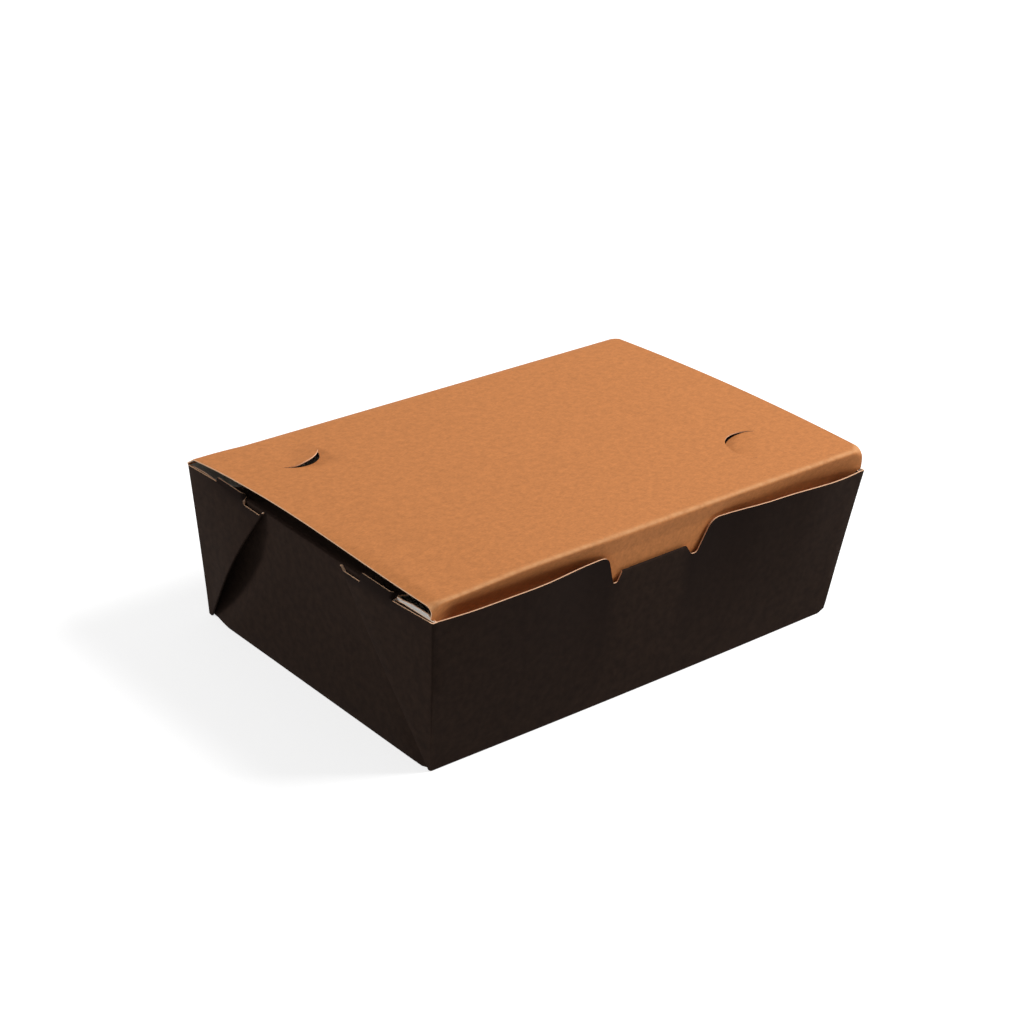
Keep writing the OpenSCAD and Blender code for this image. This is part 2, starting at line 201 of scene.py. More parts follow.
class TraySettings(bpy.types.PropertyGroup):
    """The tray: floor, walls, webs and end flaps."""

    base_l: length("Base length", "Length of the base", 195)
    base_w: length("Base width", "Width of the base", 131)
    wall_h: length("Wall height", "Height of the front and rear walls", 62)
    end_lean: length("End lean", "How far the top of an end stands out past its foot", 7)
    side_lean: length("Side lean", "How far the top of the front wall stands out past its foot", 4.8)
    front_rise: length("Front rise", "Rise of the front wall's top edge towards the lock", 0.2)
    bow_out: length("Bow outwards", "How far the front wall's top stands out on its left", 1.1)
    bow_mid: length("Bow right of the middle", "The same halfway between the lock and its right end", 0.5)
    bow_end: length("Bow near the right end", "The same near its right end", 1.8)
    bow_left: length("Bow left of the lock", "How far it stands in on the left of the lock", 1.3)
    bow_right: length("Bow right of the lock", "How far it stands in on the right of the lock", 1.9)
    foot_cut: length("Foot cut", "Size of the small cut at each corner of the base", 0.3)
    panel_clear: length("Panel clearance", "Clearance of an end panel's foot from the walls", 1.5)
    web_low: length("Front web cut", "Depth of a front web's sloping cut at its deep end", 1.5)
    web_low_rear: length("Rear web cut", "Depth of a rear web's sloping cut at its deep end", 0.4)
    web_tab_l: length("Web tab length", "Length of the tab in a web's top edge", 16.5)
    web_tab_h: length("Web tab height", "Height of that tab above the wall's top", 1.3)
    web_tab_lean: angle("Web tab lean", "Angle at which the tab leans into the box", 13)
    web_tab_curl: angle("Web tab curl", "How much further the tab's front end leans", 50)
    web_curl_l: length("Web curl length", "Length of the tab's end that leans further", 1.8)
    web_notch_l: length("Web notch length", "Length of the notch beside the tab", 9.5)
    web_notch_d: length("Web notch depth", "Depth of the notch below the wall's top", 2.5)
    web_notch_inner: length("Inner notch depth", "How much deeper the inner leaf's notch is", 1.2)
    web_notch_r: length("Web notch radius", "Radius of the notch's corner beside the fold", 1.3)
    web_corner_r: length("Web corner radius", "Radius of the tab's and notch's corners", 0.9)
    web_foot: length("Web foot", "Width of a web at the base", 1.8)
    web_inner_h: length("Inner leaf height", "Height of a front web's inner leaf above the wall's top", 0.4)
    web_inner_fall: length("Inner leaf fall", "How much lower that leaf is beside the tab", 0.7)
    web_inner_in: length("Inner leaf step", "Length of its lower edge beside the corner post", 3.5)
    web_gap: length("Web gap", "How far a front web's inner leaf stands off the outer one at its top", 0.8)
    web_gap_h: length("Web gap height", "Height over which it comes away", 10)
    web_inner_lean: angle("Inner leaf lean", "Angle at which its top leans into the box", 32)
    web_rear_drop: length("Rear inner leaf drop", "Depth of a rear web's inner leaf below the wall's top", 3)
    rear_bulge: length("Rear web bulge", "How far a rear web stands out at its fold", 3.2)
    front_bulge: length("Front web bulge", "How far a front web stands out at its fold", 0.25)
    web_shift: length("Left web shift", "How far towards the rear the left webs' tips stand", 2.4)
    spread_left: length("Left foot spread", "How far the left end's foot stands out at its front", 0.5)
    spread_rear: length("Left rear spread", "How much further it stands out at its rear", 1.1)
    spread_pull: length("Left rear pull", "How far its rear corner's foot stands in towards the front", 1.4)
    spread_front: length("Front foot spread", "How far the front wall's foot stands out at its ends", 0.8)
    spread_middle: length("Front middle spread", "How much further it stands out in its middle", 0.7)
    corner_rise: length("Left corner rise", "How far the left rear corner's top stands up", 0.9)
    corner_left: length("Left corner shift", "How far it stands out to the left", 0.9)
    corner_back: length("Left corner reach", "How far it stands towards the rear beside the crease", 1.3)
    crease_reach: length("Crease reach", "Distance from the crease at which it does so in full", 6)
    corner_out: length("Right corner shift", "How far the right front corner's top stands out", 1.1)
    corner_sag: length("Right corner sag", "How far the right front corner's top hangs down", 1.3)
    foot_out: length("Foot stand-out", "How far the middle of an end panel's foot stands out", 1.6)
    foot_high: length("Foot stand-out height", "Height over which the panel falls back behind the webs", 40)
    foot_blend: length("Foot stand-out start", "Length over which its foot comes out beside a rear web", 12)
    foot_blend_front: length("Foot stand-out front start", "The same beside a front web", 3)
    foot_turn_l: length("Foot turn length", "Length of the front wall's foot turned up at its right", 3.2)
    foot_turn_h: length("Foot turn height", "How far it is turned up", 1.3)
    recess: length("Recess", "How far an end panel stands in beside a rear web's fold", 3)
    recess_l: length("Recess length", "Length over which it comes back out", 16)
    dust_drop: length("End flap drop", "Depth of the end flap's fold below the wall's top", 1.1)
    dust_l: length("End flap length", "Reach of an end flap into the box", 38)
    dust_w: length("End flap width", "Width of an end flap at its fold", 94)
    dust_taper: length("End flap taper", "How much each side of it narrows", 5)
    dust_r: length("End flap radius", "Corner radius of an end flap", 8)
    flap_sag: length("End flap sag", "How far an end flap sinks behind its fold", 2.2)
    flap_run: length("End flap run", "Length over which it sinks", 10)
    crease_gap: length("Crease gap", "Depth of the rear wall's edge below the crease", 0.5)


class LockSettings(bpy.types.PropertyGroup):
    """The cut-out in the front wall and the tongue folded over its lower edge."""

    left_x: length("Left corner", "Distance of the cut-out's left corner from the middle", 24.9)
    right_x: length("Right corner", "Distance of the cut-out's right corner from the middle", 26.1)
    left_slope: angle("Left slope", "Slope of its left side, from the vertical", 17)
    right_slope: angle("Right slope", "Slope of its right side, from the vertical", 27.5)
    left_shoulder_r: length("Left shoulder radius", "Radius of its left shoulder", 4)
    right_shoulder_r: length("Right shoulder radius", "Radius of its right shoulder", 6)
    drop: length("Drop", "Depth of the folded edge below the wall's top", 7.6)
    fold_left: length("Fold left", "Distance of the folded edge's left end from the middle", 17.4)
    fold_right: length("Fold right", "Distance of the folded edge's right end from the middle", 14.3)
    left_notch_w: length("Left notch width", "Width of the left relief notch at its bottom", 2)
    right_notch_w: length("Right notch width", "Width of the right relief notch at its bottom", 2.8)
    notch_d: length("Notch depth", "Depth of the notches below the folded edge", 4)
    left_notch_r: length("Left notch radius", "Radius of the left notch's bottom corners", 1.3)
    right_notch_r: length("Right notch radius", "Radius of the right notch's bottom corners", 2)
    tongue_h: length("Tongue length", "Length of the tongue behind the wall", 12)
    tongue_taper: length("Tongue taper", "How much each end of the tongue narrows", 3)
    tongue_gap: length("Tongue gap", "Air between the tongue and the wall", 0.15)


class LidSettings(bpy.types.PropertyGroup):
    """The arched lid and its tuck flap."""

    step_h: length("Step height", "Rise of the lid straight behind the crease", 1.8)
    step_l: length("Step length", "Length over which it rises", 4)
    crown: length("Crown", "Rise of the arch above its chord", 1.7)
    front_h: length("Front height", "Height of the front edge above the walls", 7.4)
    bend_r: length("Bend radius", "Radius of the front bend", 1.2)
    left_bend_r: length("Left bend radius", "Radius of the front bend at the lid's left end", 3.5)
    right_bend_r: length("Right bend radius", "Radius of the front bend at the lid's right end", 3.6)
    soft_l: length("Soft length", "Length over which the bend softens at each end", 5)
    lift: length("Left end lift", "How far the lid's left end stands up behind its middle", 0.5)
    droop: length("Left end droop", "How far the lid's left end hangs down near the front", 2.6)
    inset: length("Inset", "How much narrower the lid's front is, at each end", 0.6)
    flap_clear: length("Flap clearance", "Clearance between flap and front wall", 1.3)
    flap_depth: length("Flap depth", "Depth of the tuck flap below the walls' top", 18)
    flap_angle: angle("Flap angle", "Angle between the tuck flap and the front wall", 1)
    flap_inset: length("Flap inset", "How much narrower the flap is than the box, at each end", 2.3)
    flap_shoulder: length("Flap shoulder", "Height of the flap's sloping shoulders, up and down", 0.6)
    flap_taper: length("Flap taper", "How much each end of the flap narrows", 3.2)
    tuck_left: length("Left flap tuck", "How far the flap stands in left of the lock, at the walls' top", 3)
    tuck_right: length("Right flap tuck", "The same on the right of the lock", 1.8)
    flap_r: length("Flap radius", "Corner radius of the tuck flap", 7)
    columns: count("Columns", "Faces along the lid", 76, low=8)
    arch_steps: count("Arch steps", "Faces across the arch", 44, low=8)
    bend_steps: count("Bend steps", "Faces round the front bend", 10, low=3)
    flap_steps: count("Flap steps", "Faces down the tuck flap", 12)


class VentSettings(bpy.types.PropertyGroup):
    """The two half-moon cuts in the lid."""

    radius: length("Radius", "Radius of the half-moon cuts", 11.5)
    left: length("Left", "Distance of the left one's middle from the box's left end", 28.5)
    right: length("Right", "Distance of the right one's middle from the box's right end", 32.5)
    rear: length("Rear", "Distance of the left one from the rear crease", 21.5)
    front: length("Front", "Distance of the right one from the front bend", 26.5)
    turn: angle("Turn", "Angle of each cut's bulge to the box's long side", 42)
    kerf: length("Kerf", "Width of the cut", 0.3)
    lift: angle("Lift", "Angle at which the left tab stands up", 14)
    press: angle("Press", "Angle at which the right tab is pressed in", 9)


class FinishSettings(bpy.types.PropertyGroup):
    """Colours of the board, as the photograph shows them."""

    black: colour("Black print", "Printed outside of the tray", 32, 24, 21)
    black_worn: colour("Worn print", "Print rubbed thin along a fold", 88, 68, 55)
    kraft: colour("Kraft", "Bare outside of the lid", 191, 122, 69)
    # Painted highlight: the pale colour laid along the crest of the lid's front bend
    kraft_highlight: colour("Kraft highlight", "Painted highlight along the crest of the front bend", 232, 176, 124)
    lining: colour("Lining", "White inside of the board", 240, 236, 230)
    edge: colour("Cut edge", "Fibres along a cut edge", 238, 192, 156)


class StageSettings(bpy.types.PropertyGroup):
    """Camera, lights and floor."""

    azimuth: angle("Azimuth", "Camera's turn round the box", 42.58)
    elevation: angle("Elevation", "Camera's height above the horizon", 27.35)
    roll: angle("Roll", "Camera's turn about its own line of sight", 4.27)
    distance: length("Distance", "Camera's distance from what it looks at", 956.1)
    target: place("Target", "What the camera looks at", 11.02, 21.32, 30)
    focal: bpy.props.FloatProperty(
        name="Focal length", description="Lens on a 36 mm sensor", default=87.56, subtype="DISTANCE_CAMERA")
    key_place: place("Key place", "Where the key light stands, to the right of the box", 950, -500, 1150)
    key_side: length("Key side", "Side of the key light's square", 700)
    key_power: power("Key power", "Power of the key light", 26)
    fill_place: place("Fill place", "Where the fill light stands, behind the left end", -1350, 1200, 750)
    fill_side: length("Fill side", "Side of the fill light's square", 500)
    fill_power: power("Fill power", "Power of the fill light", 17)
    aim: place("Aim", "What both lights face", 0, 0, 30)
    world: fraction("World", "Strength of the soft light from all round", 0.15)
    floor_r: length("Floor radius", "Radius of the floor", 1000)
    floor_drop: length("Floor drop", "Depth of the floor below the box", 0.05)
    floor_base: fraction("Floor", "How pale the floor is in itself", 0.55)
    floor_glow: fraction("Floor glow", "How much brighter it is where it is seen", 0.7)


def settings(name):
    """One group of settings of this scene."""
    return getattr(bpy.context.scene, "takeaway_" + name)


def clamp(share):
    """Holds a share between 0 and 1."""
    return min(1.0, max(0.0, share))


def smooth(share):
    """Eases a share from 0 to 1, and holds it there."""
    share = clamp(share)
    return share * share * (3 - 2 * share)


def ramp(value, start, end):
    """Share that eases from 0 where a value is at its start to 1 where it is at its end."""
    return smooth((value - start) / (end - start))


# Selecting and editing


def pick(*objects):
    """Selects these objects alone and makes the first one active."""
    bpy.ops.object.select_all(action="DESELECT")
    for obj in objects:
        obj.select_set(True)
    bpy.context.view_layer.objects.active = objects[0]


def unselect(obj, mode="EDGE"):
    """Makes a piece ready for choosing its points, edges or faces, with none of them selected."""
    pick(obj)
    bpy.ops.object.mode_set(mode="EDIT")
    bpy.ops.mesh.select_mode(type=mode)
    bpy.ops.mesh.select_all(action="DESELECT")
    bpy.ops.object.mode_set(mode="OBJECT")


def apply_modifier(obj, kind, **values):
    """Adds a modifier to a piece and applies it."""
    pick(obj)
    modifier = obj.modifiers.new(kind.title(), kind)
    for name, value in values.items():
        setattr(modifier, name, value)
    bpy.ops.object.modifier_apply(modifier=modifier.name)


def new_piece(name, kind, **values):
    """Adds one of the plain meshes, selected alone and named."""
    bpy.ops.object.select_all(action="DESELECT")
    getattr(bpy.ops.mesh, f"primitive_{kind}_add")(**values)
    obj = bpy.context.active_object
    obj.name = obj.data.name = name
    return obj


def choose_faces(obj, test):
    """Enters edit mode on a piece, with the faces selected whose middles pass a test."""
    unselect(obj, "FACE")
    for face in obj.data.polygons:
        face.select = test(face.center)
    bpy.ops.object.mode_set(mode="EDIT")


def score(obj, test, cuts):
    """Cuts the chosen faces along planes, each a point and a normal, so that they can bend."""
    choose_faces(obj, test)
    bpy.ops.mesh.hide(unselected=True)
    for point, normal in cuts:
        bpy.ops.mesh.select_all(action="SELECT")
        bpy.ops.mesh.bisect(plane_co=point, plane_no=normal, threshold=CUT_REACH)
    bpy.ops.mesh.reveal(select=False)
    bpy.ops.object.mode_set(mode="OBJECT")


# Outlines of board


def rounded(corners, steps):
    """Points of an outline whose corners are (across, up, radius)."""
    points = []
    for i, (x, y, r) in enumerate(corners):
        here = Vector((x, y))
        if r == 0:
            points.append(here)
            continue
        before = (Vector(corners[i - 1][:2]) - here).normalized()
        after = (Vector(corners[(i + 1) % len(corners)][:2]) - here).normalized()
        half = before.angle(after) / 2
        middle = here + (before + after).normalized() * r / math.sin(half)
        start = here + before * r / math.tan(half) - middle
        end = here + after * r / math.tan(half) - middle
        sweep = math.pi - 2 * half
        for k in range(steps + 1):
            share = k / steps
            weight_a = math.sin(sweep * (1 - share)) / math.sin(sweep)
            weight_b = math.sin(sweep * share) / math.sin(sweep)
            points.append(middle + start * weight_a + end * weight_b)
    return points


def plane(origin, across, up):
    """Frame of a flat panel: its outside faces along across x up."""
    across, up = Vector(across), Vector(up)
    out = across.cross(up)
    turn = Matrix((across, up, out)).transposed().to_4x4()
    return Matrix.Translation(origin) @ turn


def panel(name, where, corners):
    """Flat panel of board, filled, with its corners placed in a plane."""
    points = rounded(corners, settings("board").corner_steps)
    obj = new_piece(name, "circle", vertices=len(points), fill_type="NGON")
    for vertex, point in zip(obj.data.vertices, points):
        vertex.co = where @ Vector((point.x, point.y, 0))
    return obj


def strip(name, a, b, shift):
    """Narrow strip that carries an edge from one layer of board to the next."""
    obj = new_piece(name, "plane")
    for vertex, corner in zip(obj.data.vertices, (a, b, a + shift, b + shift)):
        vertex.co = corner
    return obj


# Tray


class Tray:
    """Sizes of the folded tray that follow from its settings."""

    def __init__(self):
        tray, board, lock = settings("tray"), settings("board"), settings("lock")
        self.end_angle = math.atan(tray.end_lean / tray.wall_h)
        self.side_angle = math.atan(tray.side_lean / tray.wall_h)
        self.end_s = tray.wall_h / math.cos(self.end_angle)
        self.side_s = tray.wall_h / math.cos(self.side_angle)
        self.top_l = tray.base_l + 2 * tray.end_lean
        self.top_w = tray.base_w + 2 * tray.side_lean
        self.leaf_in = 2 * board.thickness + board.leaf_gap
        self.panel_in = self.leaf_in + board.leaf_gap
        self.corner_slope = tray.side_lean / self.end_s
        web_half = (math.pi / 2 - math.atan(tray.end_lean / self.side_s)
                    - math.atan(self.corner_slope)) / 2
        self.fold_slope = math.tan(web_half - math.atan(self.corner_slope))
        self.dust_s = (tray.wall_h - tray.dust_drop) / math.cos(self.end_angle)
        self.tip_u = self.dust_s * self.fold_slope
        self.notch_s = self.end_s - tray.web_notch_d
        self.notch_end = self.notch_s * self.fold_slope - NOTCH_CLEAR * board.thickness
        self.tip_in = self.tip_u - TIP_CLEAR * board.thickness
        self.tab_end = self.notch_end - tray.web_notch_l
        self.tab_start = self.tab_end - tray.web_tab_l
        self.floor_half = tray.base_l / 2 - self.panel_in / math.cos(self.end_angle)
        self.lock_top = self.side_s + tray.front_rise
        self.fold_s = self.side_s - lock.drop
        self.lock_notch_s = self.fold_s - lock.notch_d
        self.tongue_in = 2 * board.thickness + lock.tongue_gap

    def fold_u(self, s):
        """Distance of a web's fold from the base's corner, at a distance up the slope."""
        foot = settings("tray").web_foot
        return foot + (self.tip_u - foot) * s / self.dust_s

    def post_u(self, s):
        """The same for the corner post."""
        return -self.corner_slope * s

    def wall_bow(self, x, s):
        """How far inwards the front wall stands at a place in its plane."""
        tray = settings("tray")
        half = self.top_l / 2
        bows = [(share * half, way * getattr(tray, name)) for share, name, way in BOWS]
        marks = [(-half, 0), *bows, (half, 0)]
        up = clamp(s / self.side_s)
        x *= self.top_l / (tray.base_l + 2 * tray.end_lean * up)
        if abs(x) >= half:
            return 0.0
        k = max(i for i, mark in enumerate(marks) if mark[0] <= x)
        (a, bow_a), (b, bow_b) = marks[k:k + 2]
        return (bow_a + (bow_b - bow_a) * ramp(x, a, b)) * up ** SWELL

    def wall_corner(self, z):
        """Half length of a wall, and distance up its slope, at a height."""
        tray = settings("tray")
        return tray.base_l / 2 + tray.end_lean * z / tray.wall_h, z / math.cos(self.side_angle)

    def web_corner(self, z):
        """The same corner as an end sees it: how far in from the base's corner, and up its slope."""
        tray = settings("tray")
        return -tray.side_lean * z / tray.wall_h, z / math.cos(self.end_angle)

    def side(self, which):
        """Plane of the front or rear wall's outside, its foot at the base's edge."""
        tray = settings("tray")
        up = (0, which * math.sin(self.side_angle), math.cos(self.side_angle))
        return plane((0, which * tray.base_w / 2, 0), (-which, 0, 0), up)

    def end(self, which, depth=0.0):
        """Plane of an end, at a depth from the outside of its webs."""
        tray = settings("tray")
        sine, cosine = math.sin(self.end_angle), math.cos(self.end_angle)
        origin = Vector((which * (tray.base_l / 2 - depth * cosine), 0, depth * sine))
        return plane(origin, (0, which, 0), (which * sine, 0, cosine))


def floor_panel(shape):
    """Floor, with points in its ends where the end panels' feet stop."""
    tray = settings("tray")
    half, edge = shape.floor_half, tray.base_w / 2
    inner = edge - tray.panel_clear
    corners = []
    for x, way in ((half, 1), (-half, -1)):
        for y in (-edge, -inner, inner, edge):
            corners.append((x, way * y, 0))
    under = plane((0, 0, 0), (1, 0, 0), (0, 1, 0))
    return panel("floor", under, corners)


def side_corners(shape, top):
    """Outline of a front or rear wall, with its top edge given from right to left."""
    low_x, low_s = shape.wall_corner(settings("tray").foot_cut)
    half = shape.floor_half
    return [(-low_x, low_s, 0), (-half, 0, 0), (half, 0, 0), (low_x, low_s, 0), *top]


def lock_side(shape, side):
    """Corners of one side of the lock's cut-out, from its shoulder to the fold."""
    corner_x, slope, shoulder_r, notch_w, notch_r, fold_x = (
        getattr(settings("lock"), name.format(side)) for name in (
            "{}_x", "{}_slope", "{}_shoulder_r", "{}_notch_w", "{}_notch_r", "fold_{}"))
    notch_x = corner_x - (shape.lock_top - shape.lock_notch_s) * math.tan(slope)
    return [
        (corner_x, shape.lock_top, shoulder_r),
        (notch_x, shape.lock_notch_s, notch_r),
        (notch_x - notch_w, shape.lock_notch_s, notch_r),
        (fold_x, shape.fold_s, 0),
    ]


def front_wall(shape):
    """Front wall, with the lock's cut-out in its top edge."""
    left = [(-x, s, r) for x, s, r in reversed(lock_side(shape, "left"))]
    top = [(shape.top_l / 2, shape.side_s, 0), *lock_side(shape, "right"), *left,
           (-shape.top_l / 2, shape.side_s, 0)]
    return panel("front_wall", shape.side(FRONT), side_corners(shape, top))


def rear_wall(shape):
    """Rear wall, whose top edge lies just below the crease."""
    tray = settings("tray")
    half, top_s = shape.wall_corner(tray.wall_h - tray.crease_gap)
    top = [(half, top_s, 0), (-half, top_s, 0)]
    return panel("rear_wall", shape.side(REAR), side_corners(shape, top))


def tongue(shape):
    """The tongue's plate and the strip that turns it over the folded edge."""
    lock = settings("lock")
    where = shape.side(FRONT)
    inwards = where.to_3x3() @ Vector((0, 0, -shape.tongue_in))
    inner = Matrix.Translation(inwards) @ where
    left, right = -lock.fold_left, lock.fold_right
    low, taper = shape.fold_s - lock.tongue_h, lock.tongue_taper
    plate = panel("tongue", inner, [
        (left, shape.fold_s, 0), (right, shape.fold_s, 0), (right - taper, low, 0), (left + taper, low, 0)])
    a, b = (where @ Vector((x, shape.fold_s, 0)) for x in (left, right))
    return [plate, strip("tongue_fold", a, b, inwards)]


def web_corners(shape, which, end, corners):
    """Turns corners given from a corner of the box inwards into corners in an end's plane."""
    foot = settings("tray").base_w / 2
    return [(which * end * (foot - u), s, r) for u, s, r in corners]


def web_fold(shape, which, end):
    """Both ends of a web's fold in an end's plane, the foot first."""
    corners = [(settings("tray").web_foot, 0, 0), (shape.tip_u, shape.dust_s, 0)]
    return [Vector(corner) for corner in web_corners(shape, which, end, corners)]


def web(shape, end, which):
    """Both leaves of a corner's web and the fold between them."""
    tray, board = settings("tray"), settings("board")
    name = ("left" if end == LEFT else "right") + ("_front" if which == FRONT else "_rear")
    tab_s = shape.end_s + tray.web_tab_h
    top_z = tray.wall_h - (0 if which == FRONT else tray.crease_gap)
    low, top = shape.web_corner(tray.foot_cut), shape.web_corner(top_z)
    outer = [
        (*low, 0),
        (*top, 0),
        (shape.tab_start, shape.end_s - (tray.web_low if which == FRONT else tray.web_low_rear), 0),
        (shape.tab_start, tab_s, tray.web_corner_r),
        (shape.tab_end, tab_s, tray.web_corner_r),
        (shape.tab_end, shape.notch_s, tray.web_corner_r),
        (shape.notch_end, shape.notch_s, tray.web_notch_r),
        (shape.tip_in, shape.dust_s, 0),
        (shape.tip_u, shape.dust_s, 0),
        (tray.web_foot, 0, 0),
        (tray.web_foot / 2, 0, 0),
    ]
    post = POST_CLEAR * board.thickness
    if which == FRONT:
        low_s, high_s = shape.end_s - tray.crease_gap, shape.end_s + tray.web_inner_h
        step_u = post + top[0] + tray.web_inner_in
        rim = [(step_u, low_s, 0), (step_u + high_s - low_s, high_s, 0),
               (shape.tab_start, high_s - tray.web_inner_fall, 0)]
    else:
        low_s = shape.end_s - tray.web_rear_drop
        rim = [(shape.tab_start, low_s, 0)]
    inner = [
        (post, tray.foot_cut, 0),
        (post + top[0], low_s, 0),
        *rim,
        (shape.tab_start, shape.dust_s, 0),
        (shape.tab_end, shape.dust_s, 0),
        (shape.tab_end, shape.notch_s - tray.web_notch_inner, 0),
        (shape.notch_end - tray.web_notch_inner, shape.notch_s - tray.web_notch_inner, 0),
        (shape.tip_in, shape.dust_s, 0),
        (shape.tip_u, shape.dust_s, 0),
        (tray.web_foot, 0, 0),
    ]
    outside, inside = shape.end(end), shape.end(end, shape.leaf_in)
    leaves = [
        panel(f"web_outer_{name}", outside, web_corners(shape, which, end, outer)),
        panel(f"web_inner_{name}", inside, web_corners(shape, which, end, inner)),
    ]
    fold = web_fold(shape, which, end)
    a, b = (outside @ corner for corner in fold)
    return [*leaves, strip(f"web_fold_{name}", a, b, inside @ fold[0] - a)]


def end_panel(shape, end):
    """End panel and the flap folded in from its top."""
    tray, board = settings("tray"), settings("board")
    foot = tray.base_w / 2 - tray.panel_clear
    top = tray.base_w / 2 - board.thickness + shape.corner_slope * shape.dust_s
    foot_s = -shape.panel_in * math.tan(shape.end_angle)
    where = shape.end(end, shape.panel_in)
    flap_half = tray.dust_w / 2
    tip_half = flap_half - tray.dust_taper
    wall = panel("end_panel", where, [
        (-foot, foot_s, 0), (foot, foot_s, 0), (top, shape.dust_s, 0),
        (flap_half, shape.dust_s, 0), (-flap_half, shape.dust_s, 0), (-top, shape.dust_s, 0)])
    fold = where @ Vector((0, shape.dust_s, 0))
    across, inwards = Vector((0, end, 0)), Vector((-end, 0, 0))
    flap = panel("end_flap", plane(fold, across, inwards), [
        (-flap_half, 0, 0), (flap_half, 0, 0),
        (tip_half, tray.dust_l, tray.dust_r), (-tip_half, tray.dust_l, tray.dust_r)])
    return [wall, flap]


def on_line(point, a, b):
    """Whether a point lies on the line between two others."""
    along = (b - a).normalized()
    offset = (point - a) - along * (point - a).dot(along)
    return offset.length < LINE_REACH


def crease(obj, a, b, radius, steps):
    """Rounds the edge of a folded sheet that runs from one point to another."""
    unselect(obj)
    faces = Counter(key for face in obj.data.polygons for key in face.edge_keys)
    for e in obj.data.edges:
        ends = (obj.data.vertices[i].co for i in e.vertices)
        e.select = faces[e.key] == 2 and all(on_line(point, a, b) for point in ends)
    if not any(e.select for e in obj.data.edges):
        raise RuntimeError(f"no fold of {obj.name} runs from {a} to {b}")
    bpy.ops.object.mode_set(mode="EDIT")
    bpy.ops.mesh.bevel(
        offset=radius, offset_type="OFFSET", segments=steps, affect="EDGES", clamp_overlap=False)
    bpy.ops.object.mode_set(mode="OBJECT")
    wear = obj.data.attributes["wear"]
    for face in obj.data.polygons:
        if face.select:
            for index in face.vertices:
                wear.data[index].value = 1.0


class TAKEAWAY_OT_tray(bpy.types.Operator):
    """Folds the black tray: floor, walls, webs, end flaps and tongue"""

    bl_idname = "takeaway.tray"
    bl_label = "Tray"

    def execute(self, context):
        shape = Tray()
        pieces = [floor_panel(shape), front_wall(shape), rear_wall(shape), *tongue(shape)]
        for end in (LEFT, RIGHT):
            pieces += end_panel(shape, end)
            for which in (FRONT, REAR):
                pieces += web(shape, end, which)
        pick(*pieces)
        bpy.ops.object.join()
        tray = context.active_object
        tray.name = tray.data.name = "tray"
        join_edges(tray)
        add_wear_and_highlight(tray)
        round_folds(tray, shape)
        bow_front(tray, shape)
        for end in (LEFT, RIGHT):
            bend_webs(tray, shape, end)
            bend_foot(tray, shape, end)
            sag_flap(tray, shape, end)
        spread_foot(tray)
        settle_corners(tray)
        finish_board(tray, black_board(), centred=False)
        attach(tray, "body")
        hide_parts("body")
        return {"FINISHED"}


def merge(obj):
    """Merges points that lie on each other and makes the faces agree on their outside."""
    unselect(obj, "VERT")
    bpy.ops.object.mode_set(mode="EDIT")
    bpy.ops.mesh.select_all(action="SELECT")
    bpy.ops.mesh.remove_doubles(threshold=MERGE_REACH)
    bpy.ops.mesh.dissolve_degenerate(threshold=MERGE_REACH)
    bpy.ops.mesh.select_all(action="SELECT")
    bpy.ops.mesh.normals_make_consistent(inside=False)
    bpy.ops.object.mode_set(mode="OBJECT")


def join_edges(tray):
    """Merges the panels where they meet and turns their outsides out."""
    merge(tray)
    floor = min(tray.data.polygons, key=lambda p: p.center.z)
    if floor.normal.z > 0:
        bpy.ops.object.mode_set(mode="EDIT")
        bpy.ops.mesh.select_all(action="SELECT")
        bpy.ops.mesh.flip_normals()
        bpy.ops.object.mode_set(mode="OBJECT")


def round_folds(tray, shape):
    """Rounds every fold of the tray."""
    board, sizes, lock = settings("board"), settings("tray"), settings("lock")
    soft, tight = board.fold_radius, shape.leaf_in / 2
    for which in (FRONT, REAR):
        wall = shape.side(which)
        foot = (wall @ Vector((x, 0, 0)) for x in (-shape.floor_half, shape.floor_half))
        crease(tray, *foot, soft, board.fold_steps)
        for end in (LEFT, RIGHT):
            corners = (shape.wall_corner(z) for z in (0, sizes.wall_h))
            post = (wall @ Vector((-which * end * x, s, 0)) for x, s in corners)
            crease(tray, *post, board.post_radius, board.fold_steps)
    for end in (LEFT, RIGHT):
        inner = shape.end(end, shape.panel_in)
        for s in (-shape.panel_in * math.tan(shape.end_angle), shape.dust_s):
            fold = (inner @ Vector((y, s, 0)) for y in (-FOLD_AIM, FOLD_AIM))
            crease(tray, *fold, soft, board.fold_steps)
        for which in (FRONT, REAR):
            for depth in (0, shape.leaf_in):
                where = shape.end(end, depth)
                fold = (where @ corner for corner in web_fold(shape, which, end))
                crease(tray, *fold, tight, board.fold_steps)
    wall = shape.side(FRONT)
    for depth in (0, shape.tongue_in):
        ends = (wall @ Vector((x, shape.fold_s, -depth)) for x in (-lock.fold_left, lock.fold_right))
        crease(tray, *ends, shape.tongue_in / 2, board.fold_steps)
    merge(tray)


def level_cuts(where, heights):
    """Cuts across a wall or an end, at distances up its slope."""
    up = where.to_3x3() @ Vector((0, 1, 0))
    return [(where @ Vector((0, s, 0)), up) for s in heights]


def bow_front(tray, shape):
    """Bows the front wall and the tongue behind it."""
    where = shape.side(FRONT)
    back = where.inverted()
    reach = 2 * shape.tongue_in

    def on_wall(point):
        return abs((back @ point).z) < reach and point.z > settings("board").fold_radius / 2

    half = shape.floor_half - settings("board").fold_radius
    cuts = [((half * (2 * i / WALL_COLUMNS - 1), 0, 0), (1, 0, 0)) for i in range(WALL_COLUMNS + 1)]
    cuts += level_cuts(where, [shape.side_s * i / WALL_ROWS for i in range(1, WALL_ROWS)])
    score(tray, on_wall, cuts)
    for vertex in tray.data.vertices:
        x, s, out = back @ vertex.co
        if abs(out) < reach:
            vertex.co.y += shape.wall_bow(x, s)


